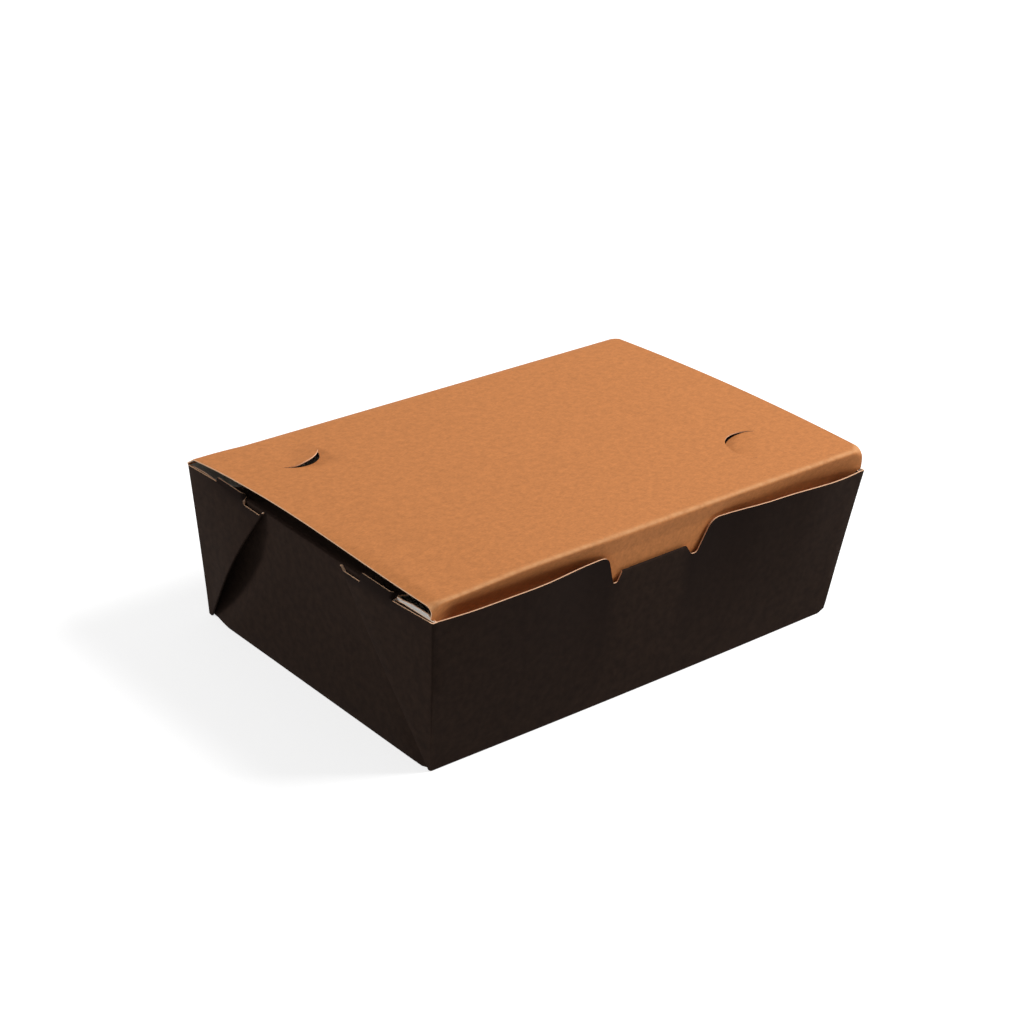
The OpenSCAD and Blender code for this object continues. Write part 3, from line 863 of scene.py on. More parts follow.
def web_cuts(shape, where, end):
    """Cuts along which both webs of an end are scored to bend."""
    sizes = settings("tray")
    foot = sizes.base_w / 2
    turned = where.to_3x3()
    cuts = level_cuts(where, [shape.dust_s * i / WEB_ROWS for i in range(1, WEB_ROWS + 1)])
    for which in (FRONT, REAR):
        side = which * end
        corner = where @ Vector((side * foot, 0, 0))
        for share in WEB_RAYS:
            cuts.append((corner, turned @ Vector((1, side * share * shape.fold_slope, 0))))
        for share in CURL_CUTS:
            curl = share * sizes.web_curl_l
            u = shape.tab_start + curl if which == FRONT else shape.tab_end - curl
            cuts.append((where @ Vector((side * (foot - u), 0, 0)), turned @ Vector((1, 0, 0))))
    return cuts


def bend_webs(tray, shape, end):
    """Stands the webs' folds out from an end, and leans their tabs and inner leaves into the box."""
    sizes = settings("tray")
    where = shape.end(end)
    back = where.inverted()
    foot = sizes.base_w / 2
    reach = (shape.leaf_in + shape.panel_in) / 2

    def on_web(point):
        across, s, out = back @ point
        return abs(out) < reach and abs(across) > foot - shape.fold_u(s) - reach

    score(tray, on_web, web_cuts(shape, where, end))
    for vertex in tray.data.vertices:
        across, s, out = back @ vertex.co
        if not on_web(vertex.co) or s < 0:
            continue
        which = REAR if vertex.co.y > 0 else FRONT
        u = foot - which * vertex.co.y
        if s <= shape.dust_s + EDGE_REACH:
            bulge = sizes.rear_bulge if which == REAR else sizes.front_bulge
            post_u = shape.post_u(s)
            share = clamp((u - post_u) / (shape.fold_u(s) - post_u))
            out += bulge * math.sin(math.pi * s / shape.dust_s) * share ** SWELL
        else:
            lean = tab_lean(shape, which, u, -out)
            rise = s - shape.dust_s
            s = shape.dust_s + rise * math.cos(lean)
            out -= rise * math.sin(lean)
        if which == FRONT and -out > shape.leaf_in / 2:
            out -= corner_gap(shape, u, s)
        if end == LEFT:
            across -= sizes.web_shift * min(1.0, s / shape.dust_s) * smooth(2 * u / foot)
        vertex.co = where @ Vector((across, s, out))


def corner_gap(shape, u, s):
    """How far the inner leaf and the end panel behind it come away from a front web's corner."""
    sizes = settings("tray")
    up = smooth(1 + (s - shape.dust_s) / sizes.web_gap_h)
    return sizes.web_gap * up * smooth((shape.tab_start + sizes.web_curl_l - u) / sizes.web_curl_l)


def tab_lean(shape, which, u, depth):
    """Angle at which a web's top leans inwards at a distance from the corner."""
    sizes = settings("tray")
    if depth > shape.leaf_in / 2:
        return sizes.web_inner_lean * smooth(u / sizes.web_inner_in)
    if u <= shape.tab_start - EDGE_REACH:
        return 0.0
    from_end = shape.tab_end - u if which == REAR else u - shape.tab_start
    return sizes.web_tab_lean + sizes.web_tab_curl * smooth(1 - from_end / sizes.web_curl_l)


def bend_foot(tray, shape, end):
    """Brings an end panel's foot out between the webs, flush with the base's edge."""
    sizes = settings("tray")
    where = shape.end(end)
    back = where.inverted()
    nearest = (shape.leaf_in + shape.panel_in) / 2
    furthest = shape.panel_in + 2 * settings("board").fold_radius
    foot = sizes.base_w / 2

    def on_panel(point):
        return nearest < -(back @ point).z < furthest

    cuts = [((0, foot * (2 * i / FOOT_COLUMNS - 1), 0), (0, 1, 0)) for i in range(1, FOOT_COLUMNS)]
    heights = [sizes.foot_high * i / FOOT_ROWS for i in range(1, FOOT_ROWS + 1)]
    heights += [shape.dust_s - sizes.web_gap_h * i / GAP_ROWS for i in range(1, GAP_ROWS + 1)]
    score(tray, on_panel, cuts + level_cuts(where, heights))
    for vertex in tray.data.vertices:
        if not on_panel(vertex.co):
            continue
        across, s, out = back @ vertex.co
        u = foot - abs(across)
        if vertex.co.y < 0:
            vertex.co.x -= end * corner_gap(shape, u, s)
        from_fold = u - shape.fold_u(max(0, s))
        blend = sizes.foot_blend if vertex.co.y > 0 else sizes.foot_blend_front
        vertex.co.x += end * sizes.foot_out * smooth(from_fold / blend) * smooth(1 - s / sizes.foot_high)
        if vertex.co.y > 0:
            recess = sizes.recess * math.sin(math.pi * clamp(s / shape.dust_s))
            vertex.co.x -= end * recess * smooth(1 - abs(from_fold) / sizes.recess_l)


def spread_foot(tray):
    """Spreads the foot of the left end and of the front wall, and turns up the wall's right end."""
    sizes = settings("tray")
    half_l, half_w = sizes.base_l / 2, sizes.base_w / 2
    score(tray, lambda point: point.z < FOOT_SCORE_H, [((half_l - sizes.foot_turn_l, 0, 0), (1, 0, 0))])
    for vertex in tray.data.vertices:
        x, y, z = vertex.co
        low = 1 - min(1.0, z / sizes.wall_h)
        rearwards = clamp((y / half_w + 1) / 2)
        leftwards = clamp(-x / half_l)
        middle = 1 - min(1.0, abs(x) / half_l) ** 2
        front = clamp(-y / half_w) * (sizes.spread_front + sizes.spread_middle * middle)
        pull = sizes.spread_pull * leftwards ** 2 * rearwards ** 2
        vertex.co.x -= leftwards * low * (sizes.spread_left + sizes.spread_rear * rearwards)
        vertex.co.y -= (front + pull) * low
        turned = clamp(1 + (x - half_l) / sizes.foot_turn_l) * ramp(-y / half_w, FOOT_CORNER, 1)
        vertex.co.z += sizes.foot_turn_h * turned * max(0.0, 1 - z / FOOT_TURN_W)


def settle_corners(obj):
    """Moves the tops of the right front corner and of the left rear one."""
    sizes = settings("tray")
    half_l, half_w = sizes.base_l / 2, sizes.base_w / 2
    hinge = half_w + sizes.side_lean
    for vertex in obj.data.vertices:
        x, y, z = vertex.co
        high = clamp(z / sizes.wall_h) ** 2
        right = ramp(x / half_l, RIGHT_CORNER[0], 1) * ramp(-y / half_w, RIGHT_CORNER[1], 1) * high
        left = ramp(-x / half_l, LEFT_CORNER[0], 1) * ramp(y / half_w, LEFT_CORNER[1], 1) * high
        above = max(0.0, z - sizes.wall_h)
        clear = left * smooth((hinge - y) / sizes.crease_reach)
        vertex.co.x += sizes.corner_out * right * (1 - smooth(above / settings("lid").front_h))
        vertex.co.x -= sizes.corner_left * left
        vertex.co.y += sizes.corner_back * clear
        vertex.co.z += sizes.corner_rise * clear - sizes.corner_sag * right * (above <= sizes.web_tab_h)


def sag_flap(tray, shape, end):
    """Lets an end flap sink behind its fold."""
    sizes = settings("tray")
    edge = sizes.base_l / 2 + sizes.end_lean - shape.panel_in
    level = sizes.wall_h - sizes.dust_drop

    def on_flap(point):
        inwards = edge - end * point.x
        return abs(point.z - level) < settings("board").fold_radius and 0 < inwards < 2 * sizes.dust_l

    rows = [edge - sizes.flap_run * (i + 0.5) / SAG_ROWS for i in range(SAG_ROWS)]
    score(tray, on_flap, [((end * x, 0, 0), (1, 0, 0)) for x in rows])
    for vertex in tray.data.vertices:
        if on_flap(vertex.co):
            share = (edge - end * vertex.co.x) / sizes.flap_run
            vertex.co.z -= sizes.flap_sag * smooth(share)


def add_wear_and_highlight(obj):
    """Attribute that says where a fold is paler: worn print along the tray's folds, and a painted highlight
    along the crest of the lid's front bend.
    """
    return obj.data.attributes.new("wear", "FLOAT", "POINT")


def smooth_folds(obj):
    """Shades a piece as one surface where it bends only a little."""
    pick(obj)
    bpy.ops.object.shade_smooth_by_angle(angle=math.radians(SMOOTH_ANGLE))


def finish_board(obj, outside, centred):
    """Gives a sheet its thickness, on its inside or to both sides, and its three materials."""
    board = settings("board")
    for material in (outside, lining_board(), cut_edge()):
        obj.data.materials.append(material)
    apply_modifier(
        obj, "SOLIDIFY", thickness=board.thickness, offset=0 if centred else -1,
        use_even_offset=True, use_quality_normals=True,
        material_offset=LINING, material_offset_rim=CUT_EDGE)
    smooth_folds(obj)


# Lid


class Lid:
    """Side view of the lid, as Y and Z of the middle of its board."""

    def __init__(self, shape, bend_r):
        tray, board, lid = settings("tray"), settings("board"), settings("lid")
        self.bend_r = bend_r
        self.tilt = shape.side_angle + lid.flap_angle
        self.flap_y = (-shape.top_w / 2 + board.thickness / math.cos(shape.side_angle)
                       + lid.flap_clear + board.thickness / 2)
        bend_z = tray.wall_h + lid.front_h - bend_r
        bend_y = (self.flap_y - (bend_z - tray.wall_h) * math.tan(self.tilt)
                  + bend_r / math.cos(self.tilt))
        self.bend = Vector((bend_y, bend_z))
        self.crease = Vector((shape.top_w / 2, tray.wall_h + board.thickness / 2))
        self.rear = self.crease + Vector((-lid.step_l, lid.step_h))
        front = self.bend + Vector((0, bend_r))
        chord = (front - self.rear).length
        self.radius = chord * chord / (8 * lid.crown) + lid.crown / 2
        self.half = math.asin(chord / (2 * self.radius))
        self.along = (front - self.rear).normalized()
        self.up = Vector((self.along.y, -self.along.x))
        self.centre = (self.rear + front) / 2 - self.up * (self.radius - lid.crown)
        self.bend_start = math.pi / 2 + self.half - math.atan2(self.along.y, -self.along.x)
        self.foot = tray.wall_h - lid.flap_depth
        self.half_front = shape.top_l / 2 - lid.inset

    def arch(self, share):
        """Point of the arch at a share of its way from the rear to the front."""
        a = self.half * (2 * share - 1)
        return self.centre + self.radius * (self.along * math.sin(a) + self.up * math.cos(a))

    def height(self, y):
        """Height of the arch's middle at a distance from the box's middle."""
        return self.centre.y + math.sqrt(self.radius ** 2 - (y - self.centre.x) ** 2)

    def path(self):
        """Points of the lid's side view, from the crease to the foot of the flap."""
        lid = settings("lid")
        points = [self.crease, self.crease.lerp(self.rear, STEP_KNEE)]
        points += [self.arch(max(i, FIRST_ROW) / lid.arch_steps) for i in range(lid.arch_steps)]
        chord = 2 * self.radius * math.sin(self.half)
        points += [self.arch(1 - near / chord) for near in NEAR_ROWS]
        end = math.pi + self.tilt
        for i in range(lid.bend_steps + 1):
            a = self.bend_start + (end - self.bend_start) * i / lid.bend_steps
            points.append(self.bend + self.bend_r * Vector((math.cos(a), math.sin(a))))
        last = points[-1]
        foot = Vector((self.flap_y + (settings("tray").wall_h - self.foot) * math.tan(self.tilt), self.foot))
        return points + [last.lerp(foot, (i + 1) / lid.flap_steps) for i in range(lid.flap_steps)]


def lid_sheet(lid, shape):
    """Lid, front bend and tuck flap as one sheet, bent along its side view."""
    sizes = settings("lid")
    path = lid.path()
    soft = {LEFT: Lid(shape, sizes.left_bend_r).path(), RIGHT: Lid(shape, sizes.right_bend_r).path()}
    obj = new_piece("lid_board", "grid", x_subdivisions=sizes.columns, y_subdivisions=len(path) - 1, size=2)
    wear = add_wear_and_highlight(obj)
    half = shape.top_l / 2
    along = [0.0]
    for before, after in zip(path, path[1:]):
        along.append(along[-1] + (after - before).length)
    crest = along[-1 - sizes.flap_steps - round(sizes.bend_steps * CREST_SHARE)]
    for vertex in obj.data.vertices:
        row = round((1 - vertex.co.y) / 2 * (len(path) - 1))
        across = vertex.co.x
        x = half * across * (1 + COLUMN_CROWDING - COLUMN_CROWDING * across ** 2)
        share = smooth(1 - (half - abs(x)) / sizes.soft_l)
        point = path[row].lerp(soft[RIGHT if x > 0 else LEFT][row], share)
        vertex.co = Vector((x, *point))
        # Painted highlight: a pale band in the attribute, peaking on the crest of the front bend, narrower
        # past it than before it
        past = along[row] - crest
        width = HIGHLIGHT_PAST if past > 0 else HIGHLIGHT_BEFORE
        wear.data[vertex.index].value = math.exp(-(past / width) ** 2)
    return obj


def settle_lid(obj, shape):
    """Lets the lid's left end hang at its front and lift at its rear, and bows the flap with the wall."""
    sizes, tray = settings("lid"), settings("tray")
    half = shape.top_l / 2
    crest = tray.wall_h + sizes.front_h
    shoulder = tray.wall_h + sizes.flap_shoulder
    turn_y = half / 3
    for vertex in obj.data.vertices:
        x, y, z = vertex.co
        near_end = (ramp(x + half, DROOP_START, DROOP_FULL) + ramp(x + half, CORNER_DROOP, 0)) / 2
        shift = sizes.lift - (sizes.lift + sizes.droop) * ramp(y, turn_y, turn_y - DROOP_TURN)
        shift *= near_end * ramp(shape.top_w / 2 - y, CREASE_STILL, CREASE_FREE)
        if y < FRONT_STRIP - shape.top_w / 2:
            shift *= clamp((z - shoulder) / (crest - shoulder))
            bow = max(0.0, shape.wall_bow(x, shape.side_s) - BOW_SLACK)
            below = min(1.0, z / tray.wall_h) ** SWELL
            depth = (crest - z) / sizes.front_h
            tuck = sizes.tuck_left if x < 0 else sizes.tuck_right
            tuck *= ramp(abs(x), TUCK_START, TUCK_FULL) * smooth((half - abs(x)) / TUCK_END)
            tuck *= min(depth, TUCK_MOST) * smooth((z - tray.wall_h + sizes.flap_depth) / TUCK_FOOT)
            vertex.co.y += bow * below * min(1.0, depth) + tuck
        vertex.co.z += shift


def cut_off(obj, point, normal, test=lambda middle: True):
    """Cuts a piece by a plane and throws away what lies on the normal's side."""
    choose_faces(obj, test)
    bpy.ops.mesh.bisect(plane_co=point, plane_no=normal, clear_outer=True, threshold=CUT_REACH)
    bpy.ops.object.mode_set(mode="OBJECT")


def trim_lid(obj, lid, shape):
    """Narrows the lid towards its front and rounds the flap's lower corners."""
    sizes, tray, board = settings("lid"), settings("tray"), settings("board")
    rear = shape.top_l / 2 - board.thickness / 2
    high, low = tray.wall_h + sizes.flap_shoulder, tray.wall_h - sizes.flap_shoulder
    flap_half = shape.top_l / 2 - sizes.flap_inset
    slope = math.atan(sizes.flap_taper / (low - lid.foot))
    round_z = lid.foot + sizes.flap_r
    round_x = (flap_half - sizes.flap_taper * (low - round_z) / (low - lid.foot)
               - sizes.flap_r / math.cos(slope))

    def on_flap(point):
        return point.z < tray.wall_h + sizes.front_h / 2 and point.y < 0

    score(obj, on_flap, [((0, 0, high), (0, 0, 1)), ((0, 0, low), (0, 0, 1))])
    for way in (LEFT, RIGHT):
        cut_off(obj, (way * rear, shape.top_w / 2, 0), (way * shape.top_w, lid.half_front - rear, 0))
        shoulder = (way * 2 * sizes.flap_shoulder, 0, flap_half - lid.half_front)
        cut_off(obj, (way * flap_half, 0, low), shoulder, lambda c: on_flap(c) and low < c.z < high)
        for k in range(FLAP_CORNER_CUTS + 1):
            a = -slope - (math.pi / 2 - slope) * k / FLAP_CORNER_CUTS
            out = Vector((way * math.cos(a), 0, math.sin(a)))
            on_arc = Vector((way * round_x, 0, round_z)) + out * sizes.flap_r
            cut_off(obj, on_arc, out, lambda c: on_flap(c) and c.z < low)


def vent_cutter(x, y, turn):
    """Thin half-round wall that cuts a vent's slit through the lid."""
    vent = settings("vent")
    low = settings("tray").wall_h
    obj = new_piece("vent_cutter", "plane")
    obj.data.materials.append(cut_edge())
    start = Vector((math.cos(turn + math.pi / 2), math.sin(turn + math.pi / 2), 0))
    corners = [(r, z) for z in (low, low + CUTTER_H) for r in (vent.radius - vent.kerf, vent.radius)]
    for vertex, (r, z) in zip(obj.data.vertices, corners):
        vertex.co = Vector((x, y, z)) + start * r
    bpy.ops.object.mode_set(mode="EDIT")
    bpy.ops.mesh.select_all(action="SELECT")
    bpy.ops.mesh.spin(steps=VENT_STEPS, angle=math.pi, center=(x, y, 0), axis=(0, 0, 1))
    bpy.ops.mesh.select_all(action="SELECT")
    bpy.ops.mesh.remove_doubles(threshold=EDGE_REACH)
    bpy.ops.mesh.normals_make_consistent(inside=False)
    bpy.ops.object.mode_set(mode="OBJECT")
    return obj


def cut_vent(obj, lid, x, y, turn, lift):
    """Cuts one half-moon vent and bends its tab about the chord."""
    vent = settings("vent")
    cutter = vent_cutter(x, y, turn)
    apply_modifier(obj, "BOOLEAN", operation="DIFFERENCE", solver="EXACT", object=cutter,
                   material_mode="TRANSFER")
    bpy.data.objects.remove(cutter)
    out = Vector((math.cos(turn), math.sin(turn), 0))
    chord = Vector((-out.y, out.x, 0))
    middle = Vector((x, y, lid.height(y)))
    free = vent.radius - vent.kerf / 2
    lid_from = settings("tray").wall_h + LID_FROM
    for vertex in obj.data.vertices:
        flat = vertex.co - middle
        flat.z = 0
        reach = flat.dot(out)
        if flat.length > free or reach <= 0 or vertex.co.z < lid_from:
            continue
        turned = lift * min(1.0, TAB_SPRING + reach / vent.radius)
        hinge = middle + chord * flat.dot(chord)
        hinge.z = lid.height(hinge.y)
        vertex.co = hinge + Matrix.Rotation(-turned, 3, chord) @ (vertex.co - hinge)


class TAKEAWAY_OT_lid(bpy.types.Operator):
    """Bends the kraft lid and its tuck flap, and cuts its vents"""

    bl_idname = "takeaway.lid"
    bl_label = "Lid"

    def execute(self, context):
        shape = Tray()
        lid = Lid(shape, settings("lid").bend_r)
        vent = settings("vent")
        obj = lid_sheet(lid, shape)
        trim_lid(obj, lid, shape)
        finish_board(obj, kraft_board(), centred=True)
        left_x, right_x = vent.left - shape.top_l / 2, shape.top_l / 2 - vent.right
        cut_vent(obj, lid, left_x, shape.top_w / 2 - vent.rear, -vent.turn, vent.lift)
        cut_vent(obj, lid, right_x, vent.front - shape.top_w / 2, math.pi - vent.turn, -vent.press)
        settle_lid(obj, shape)
        settle_corners(obj)
        smooth_folds(obj)
        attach(obj, "lid")
        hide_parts("lid")
        return {"FINISHED"}


class TAKEAWAY_OT_crease(bpy.types.Operator):
    """Joins the rear wall to the lid with a strip of creased board"""

    bl_idname = "takeaway.crease"
    bl_label = "Crease"

    def execute(self, context):
        shape = Tray()
        tray, board = settings("tray"), settings("board")
        half = shape.top_l / 2 - board.thickness / 2
        y = shape.top_w / 2
        low = tray.wall_h - tray.crease_gap
        obj = new_piece(
            "crease_board", "grid", x_subdivisions=CREASE_COLUMNS, y_subdivisions=CREASE_ROWS, size=2)
        wall_y = y - tray.side_lean * tray.crease_gap / tray.wall_h - board.thickness / 2
        start, end = Vector((wall_y, low)), Vector((y, tray.wall_h + board.thickness / 2))
        knee = Vector((y - board.thickness / 2, tray.wall_h))
        for vertex in obj.data.vertices:
            t = (vertex.co.y + 1) / 2
            point = start * (1 - t) ** 2 + knee * 2 * t * (1 - t) + end * t * t
            vertex.co = Vector((vertex.co.x * half, *point))
        finish_board(obj, kraft_board(), centred=True)
        settle_corners(obj)
        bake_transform(obj)
        return {"FINISHED"}


# Materials


def new_material(name, base, roughness):
    """Material with a Principled BSDF, its tree and the shader."""
    material = bpy.data.materials.new(name)
    material.use_nodes = True
    tree = material.node_tree
    shader = tree.nodes["Principled BSDF"]
    shader.inputs["Base Color"].default_value = (*base, 1)
    shader.inputs["Roughness"].default_value = roughness
    return material, tree, shader


def new_group(name, inputs, outputs):
    """Shader group with its sockets, its input node and its output node."""
    group = bpy.data.node_groups.new(name, "ShaderNodeTree")
    for in_out, sockets in (("INPUT", inputs), ("OUTPUT", outputs)):
        for label, kind in sockets.items():
            group.interface.new_socket(label, in_out=in_out, socket_type="NodeSocket" + kind)
    return group, group.nodes.new("NodeGroupInput"), group.nodes.new("NodeGroupOutput")


def maths(tree, operation, *values, clamped=False):
    """Output of a maths node that is fed by sockets and plain numbers."""
    node = tree.nodes.new("ShaderNodeMath")
    node.operation = operation
    node.use_clamp = clamped
    for socket, value in zip(node.inputs, values):
        if isinstance(value, bpy.types.NodeSocket):
            tree.links.new(value, socket)
        else:
            socket.default_value = value
    return node.outputs[0]


def noise(tree, vector, **values):
    """Noise texture whose inputs are given by name."""
    node = tree.nodes.new("ShaderNodeTexNoise")
    tree.links.new(vector, node.inputs["Vector"])
    for name, value in values.items():
        node.inputs[name.title()].default_value = value
    return node


def mottle_group():
    """Shared group: cloudy fibres in the board, as a colour and a height."""
    name = "Board fibres"
    if name in bpy.data.node_groups:
        return bpy.data.node_groups[name]
    group, source, sink = new_group(
        name, {"Colour": "Color", "Contrast": "Float", "Scale": "Float"},
        {"Colour": "Color", "Height": "Float"})
    nodes, links = group.nodes, group.links
    where, stretch = nodes.new("ShaderNodeTexCoord"), nodes.new("ShaderNodeMapping")
    stretch.inputs["Scale"].default_value = (1.0, 2.2, 1.0)
    links.new(where.outputs["Object"], stretch.inputs["Vector"])
    clouds = noise(group, where.outputs["Object"], detail=4)
    links.new(source.outputs["Scale"], clouds.inputs["Scale"])
    fibres = noise(group, stretch.outputs["Vector"], scale=900, detail=3)
    both = maths(group, "ADD", clouds.outputs["Fac"], fibres.outputs["Fac"])
    centred = maths(group, "SUBTRACT", both, 1.0)
    strength = maths(group, "MULTIPLY_ADD", centred, source.outputs["Contrast"], 1.0)
    tint = nodes.new("ShaderNodeVectorMath")
    tint.operation = "SCALE"
    links.new(source.outputs["Colour"], tint.inputs[0])
    links.new(strength, tint.inputs["Scale"])
    links.new(tint.outputs[0], sink.inputs["Colour"])
    links.new(fibres.outputs["Fac"], sink.inputs["Height"])
    return group


def wear_and_highlight_group():
    """Shared group: moves a colour towards a paler one along the folds, broken up by the board's grain; the
    paler colour is worn print on the tray and a painted highlight on the lid's front bend.
    """
    name = "Fold wear"
    if name in bpy.data.node_groups:
        return bpy.data.node_groups[name]
    group, source, sink = new_group(
        name, {"Colour": "Color", "Worn colour": "Color", "Amount": "Float"}, {"Colour": "Color"})
    nodes, links = group.nodes, group.links
    where, wear_and_highlight_mask = nodes.new("ShaderNodeTexCoord"), nodes.new("ShaderNodeAttribute")
    # Reads where the folds are paler: worn print on the tray, the painted highlight on the lid's crest
    wear_and_highlight_mask.attribute_name = "wear"
    grain = noise(group, where.outputs["Object"], scale=350)
    patchy = maths(group, "MULTIPLY", wear_and_highlight_mask.outputs["Fac"], grain.outputs["Fac"], clamped=True)
    amount = maths(group, "MULTIPLY", patchy, source.outputs["Amount"], clamped=True)
    mix = nodes.new("ShaderNodeMix")
    mix.data_type = "RGBA"
    links.new(amount, mix.inputs["Factor"])
    links.new(source.outputs["Colour"], mix.inputs["A"])
    links.new(source.outputs["Worn colour"], mix.inputs["B"])
    links.new(mix.outputs["Result"], sink.inputs["Colour"])
    return group


def board_material(name, base, wear_and_highlight_colour, roughness, gloss, contrast, scale, bump, wear):
    """Board with cloudy fibres in its colour, a faint grain in its surface, and paler folds: worn print on
    the tray, a painted highlight along the lid's front bend.
    """
    if name in bpy.data.materials:
        return bpy.data.materials[name]
    material, tree, shader = new_material(name, base, roughness)
    shader.inputs["Specular IOR Level"].default_value = gloss
    fibres = tree.nodes.new("ShaderNodeGroup")
    fibres.node_tree = mottle_group()
    fibres.inputs["Colour"].default_value = (*base, 1)
    fibres.inputs["Contrast"].default_value = contrast
    fibres.inputs["Scale"].default_value = scale
    wear_and_highlight_node = tree.nodes.new("ShaderNodeGroup")
    wear_and_highlight_node.node_tree = wear_and_highlight_group()
    wear_and_highlight_node.inputs["Worn colour"].default_value = (*wear_and_highlight_colour, 1)
    wear_and_highlight_node.inputs["Amount"].default_value = wear
    tree.links.new(fibres.outputs["Colour"], wear_and_highlight_node.inputs["Colour"])
    tree.links.new(wear_and_highlight_node.outputs["Colour"], shader.inputs["Base Color"])
    grain = tree.nodes.new("ShaderNodeBump")
    grain.inputs["Strength"].default_value = bump
    grain.inputs["Distance"].default_value = GRAIN_DEPTH
    tree.links.new(fibres.outputs["Height"], grain.inputs["Height"])
    tree.links.new(grain.outputs["Normal"], shader.inputs["Normal"])
    return material


def kraft_board():
    """Outside of the lid."""
    finish = settings("finish")
    # Painted highlight: the pale fold colour and its amount lighten the crest of the front bend
    return board_material(
        "kraft_board", finish.kraft, finish.kraft_highlight,
        roughness=0.8, gloss=0.25, contrast=0.42, scale=430, bump=0.3, wear=0.9)


def black_board():
    """Printed outside of the tray."""
    finish = settings("finish")
    return board_material(
        "black_board", finish.black, finish.black_worn,
        roughness=0.7, gloss=0.02, contrast=0.3, scale=260, bump=0.25, wear=0.25)


def lining_board():
    """Inside of every piece."""
    finish = settings("finish")
    return board_material(
        "white_lining", finish.lining, finish.lining,
        roughness=0.6, gloss=0.2, contrast=0.03, scale=200, bump=0.1, wear=0)


def cut_edge():
    """Fibres that show where the board is cut."""
    finish = settings("finish")
    return board_material(
        "cut_edge", finish.edge, finish.edge,
        roughness=0.85, gloss=0.2, contrast=0.25, scale=700, bump=0.2, wear=0)


# Stage


def look_at(obj, target, roll=0.0):
    """Turns a camera or lamp towards a point."""
    direction = Vector(target) - obj.location
    obj.rotation_mode = "QUATERNION"
    rolled = Matrix.Rotation(roll, 3, "Z").to_quaternion()
    obj.rotation_quaternion = direction.to_track_quat("-Z", "Y") @ rolled


def add_light(name):
    """Soft square light, as the stage's settings of that name give it."""
    stage = settings("stage")
    side, watts, where = (getattr(stage, f"{name}_{key}") for key in ("side", "power", "place"))
    lamp = bpy.data.lights.new(name, "AREA")
    lamp.shape = "RECTANGLE"
    lamp.size = lamp.size_y = side
    lamp.energy = watts
    obj = bpy.data.objects.new(name, lamp)
    bpy.context.collection.objects.link(obj)
    obj.location = where
    look_at(obj, stage.aim)


def shown(tree):
    """Mask of the rays that show a surface: straight to the camera, mirrored, or through glass."""
    path = tree.nodes.new("ShaderNodeLightPath")
    mask = path.outputs["Is Camera Ray"]
    for kind in ("Is Glossy Ray", "Is Transmission Ray"):
        mask = maths(tree, "ADD", mask, path.outputs[kind], clamped=True)
    return mask


def add_world():
    """Soft light from all round, and pure white where it is seen past the floor."""
    world = bpy.data.worlds.new("studio")
    bpy.context.scene.world = world
    world.use_nodes = True
    nodes, links = world.node_tree.nodes, world.node_tree.links
    light = nodes["Background"]
    light.inputs["Color"].default_value = WHITE
    light.inputs["Strength"].default_value = settings("stage").world
    seen, mix = nodes.new("ShaderNodeBackground"), nodes.new("ShaderNodeMixShader")
    seen.inputs["Color"].default_value = WHITE
    seen.inputs["Strength"].default_value = 1.0
    links.new(shown(world.node_tree), mix.inputs["Fac"])
    links.new(light.outputs["Background"], mix.inputs[1])
    links.new(seen.outputs["Background"], mix.inputs[2])
    links.new(mix.outputs["Shader"], nodes["World Output"].inputs["Surface"])


def add_floor():
    """Pale floor that keeps a soft shadow and reads as white where it is seen."""
    stage = settings("stage")
    floor = new_piece(
        "floor_stage", "circle", vertices=FLOOR_SIDES, radius=stage.floor_r, fill_type="NGON",
        location=(0, 0, -stage.floor_drop))
    material, tree, shader = new_material("pale_floor", [stage.floor_base] * 3, roughness=0.9)
    glow, add = tree.nodes.new("ShaderNodeEmission"), tree.nodes.new("ShaderNodeAddShader")
    tree.links.new(shown(tree), glow.inputs["Strength"])
    glow.inputs["Color"].default_value = (*[stage.floor_glow] * 3, 1)
    tree.links.new(shader.outputs["BSDF"], add.inputs[0])
    tree.links.new(glow.outputs["Emission"], add.inputs[1])
    tree.links.new(add.outputs["Shader"], tree.nodes["Material Output"].inputs["Surface"])
    floor.data.materials.append(material)


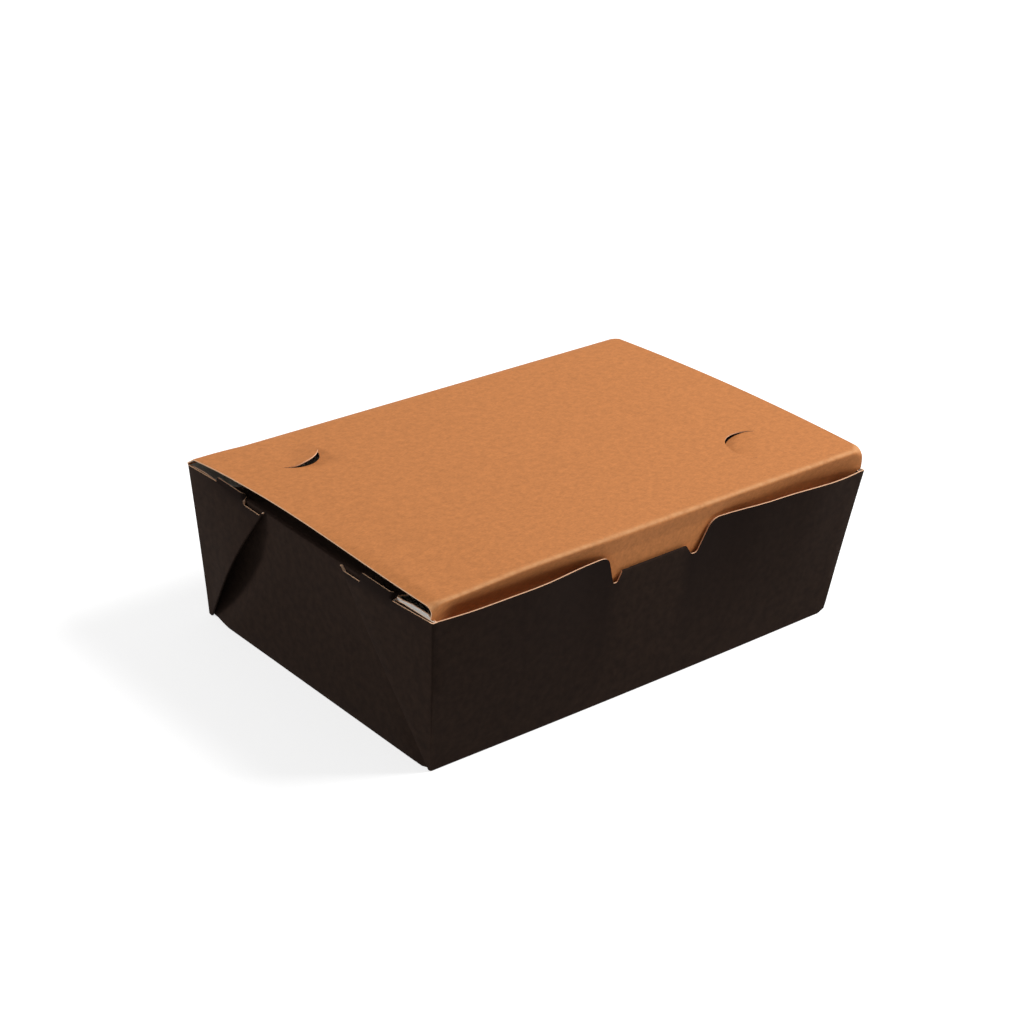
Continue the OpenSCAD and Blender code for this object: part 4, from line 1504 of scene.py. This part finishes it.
class TAKEAWAY_OT_stage(bpy.types.Operator):
    """Adds the camera, the lights and the pale floor"""

    bl_idname = "takeaway.stage"
    bl_label = "Stage"

    def execute(self, context):
        stage = settings("stage")
        context.scene.view_settings.view_transform = "Standard"
        back = Vector((
            -math.sin(stage.azimuth) * math.cos(stage.elevation),
            -math.cos(stage.azimuth) * math.cos(stage.elevation),
            math.sin(stage.elevation)))
        camera = bpy.data.objects.new("camera", bpy.data.cameras.new("camera"))
        context.collection.objects.link(camera)
        camera.data.lens = stage.focal
        camera.data.sensor_width = SENSOR_W
        camera.data.clip_start, camera.data.clip_end = CLIP
        camera.location = stage.target + back * stage.distance
        look_at(camera, stage.target, stage.roll)
        context.scene.camera = camera
        add_world()
        add_light("key")
        add_light("fill")
        add_floor()
        return {"FINISHED"}


class TAKEAWAY_PT_panel(bpy.types.Panel):
    """Lists the pieces of the box"""

    bl_idname = "TAKEAWAY_PT_panel"
    bl_label = "Takeaway box"
    bl_space_type = "VIEW_3D"
    bl_region_type = "UI"
    bl_category = "Takeaway box"

    def draw(self, context):
        for operator in OPERATORS:
            self.layout.operator(operator.bl_idname)
        for name in GROUPS:
            group = settings(name)
            box = self.layout.box()
            box.label(text=name.title())
            for key in group.__annotations__:
                box.prop(group, key)


GROUPS = {
    "board": BoardSettings,
    "tray": TraySettings,
    "lock": LockSettings,
    "lid": LidSettings,
    "vent": VentSettings,
    "finish": FinishSettings,
    "stage": StageSettings,
}
OPERATORS = (TAKEAWAY_OT_stage, TAKEAWAY_OT_tray, TAKEAWAY_OT_lid, TAKEAWAY_OT_crease)


def register():
    """Adds the settings, the operators and the panel."""
    for group in GROUPS.values():
        bpy.utils.register_class(group)
    for name, group in GROUPS.items():
        setattr(bpy.types.Scene, "takeaway_" + name, bpy.props.PointerProperty(type=group))
    for cls in (*OPERATORS, TAKEAWAY_PT_panel):
        bpy.utils.register_class(cls)


def unregister():
    """Takes them away again."""
    for cls in (TAKEAWAY_PT_panel, *reversed(OPERATORS)):
        bpy.utils.unregister_class(cls)
    for name, group in reversed(GROUPS.items()):
        delattr(bpy.types.Scene, "takeaway_" + name)
        bpy.utils.unregister_class(group)


def main():
    """Builds the stage and every piece."""
    register()
    for operator in OPERATORS:
        group, name = operator.bl_idname.split(".")
        getattr(getattr(bpy.ops, group), name)()


if __name__ == "__main__":
    main()
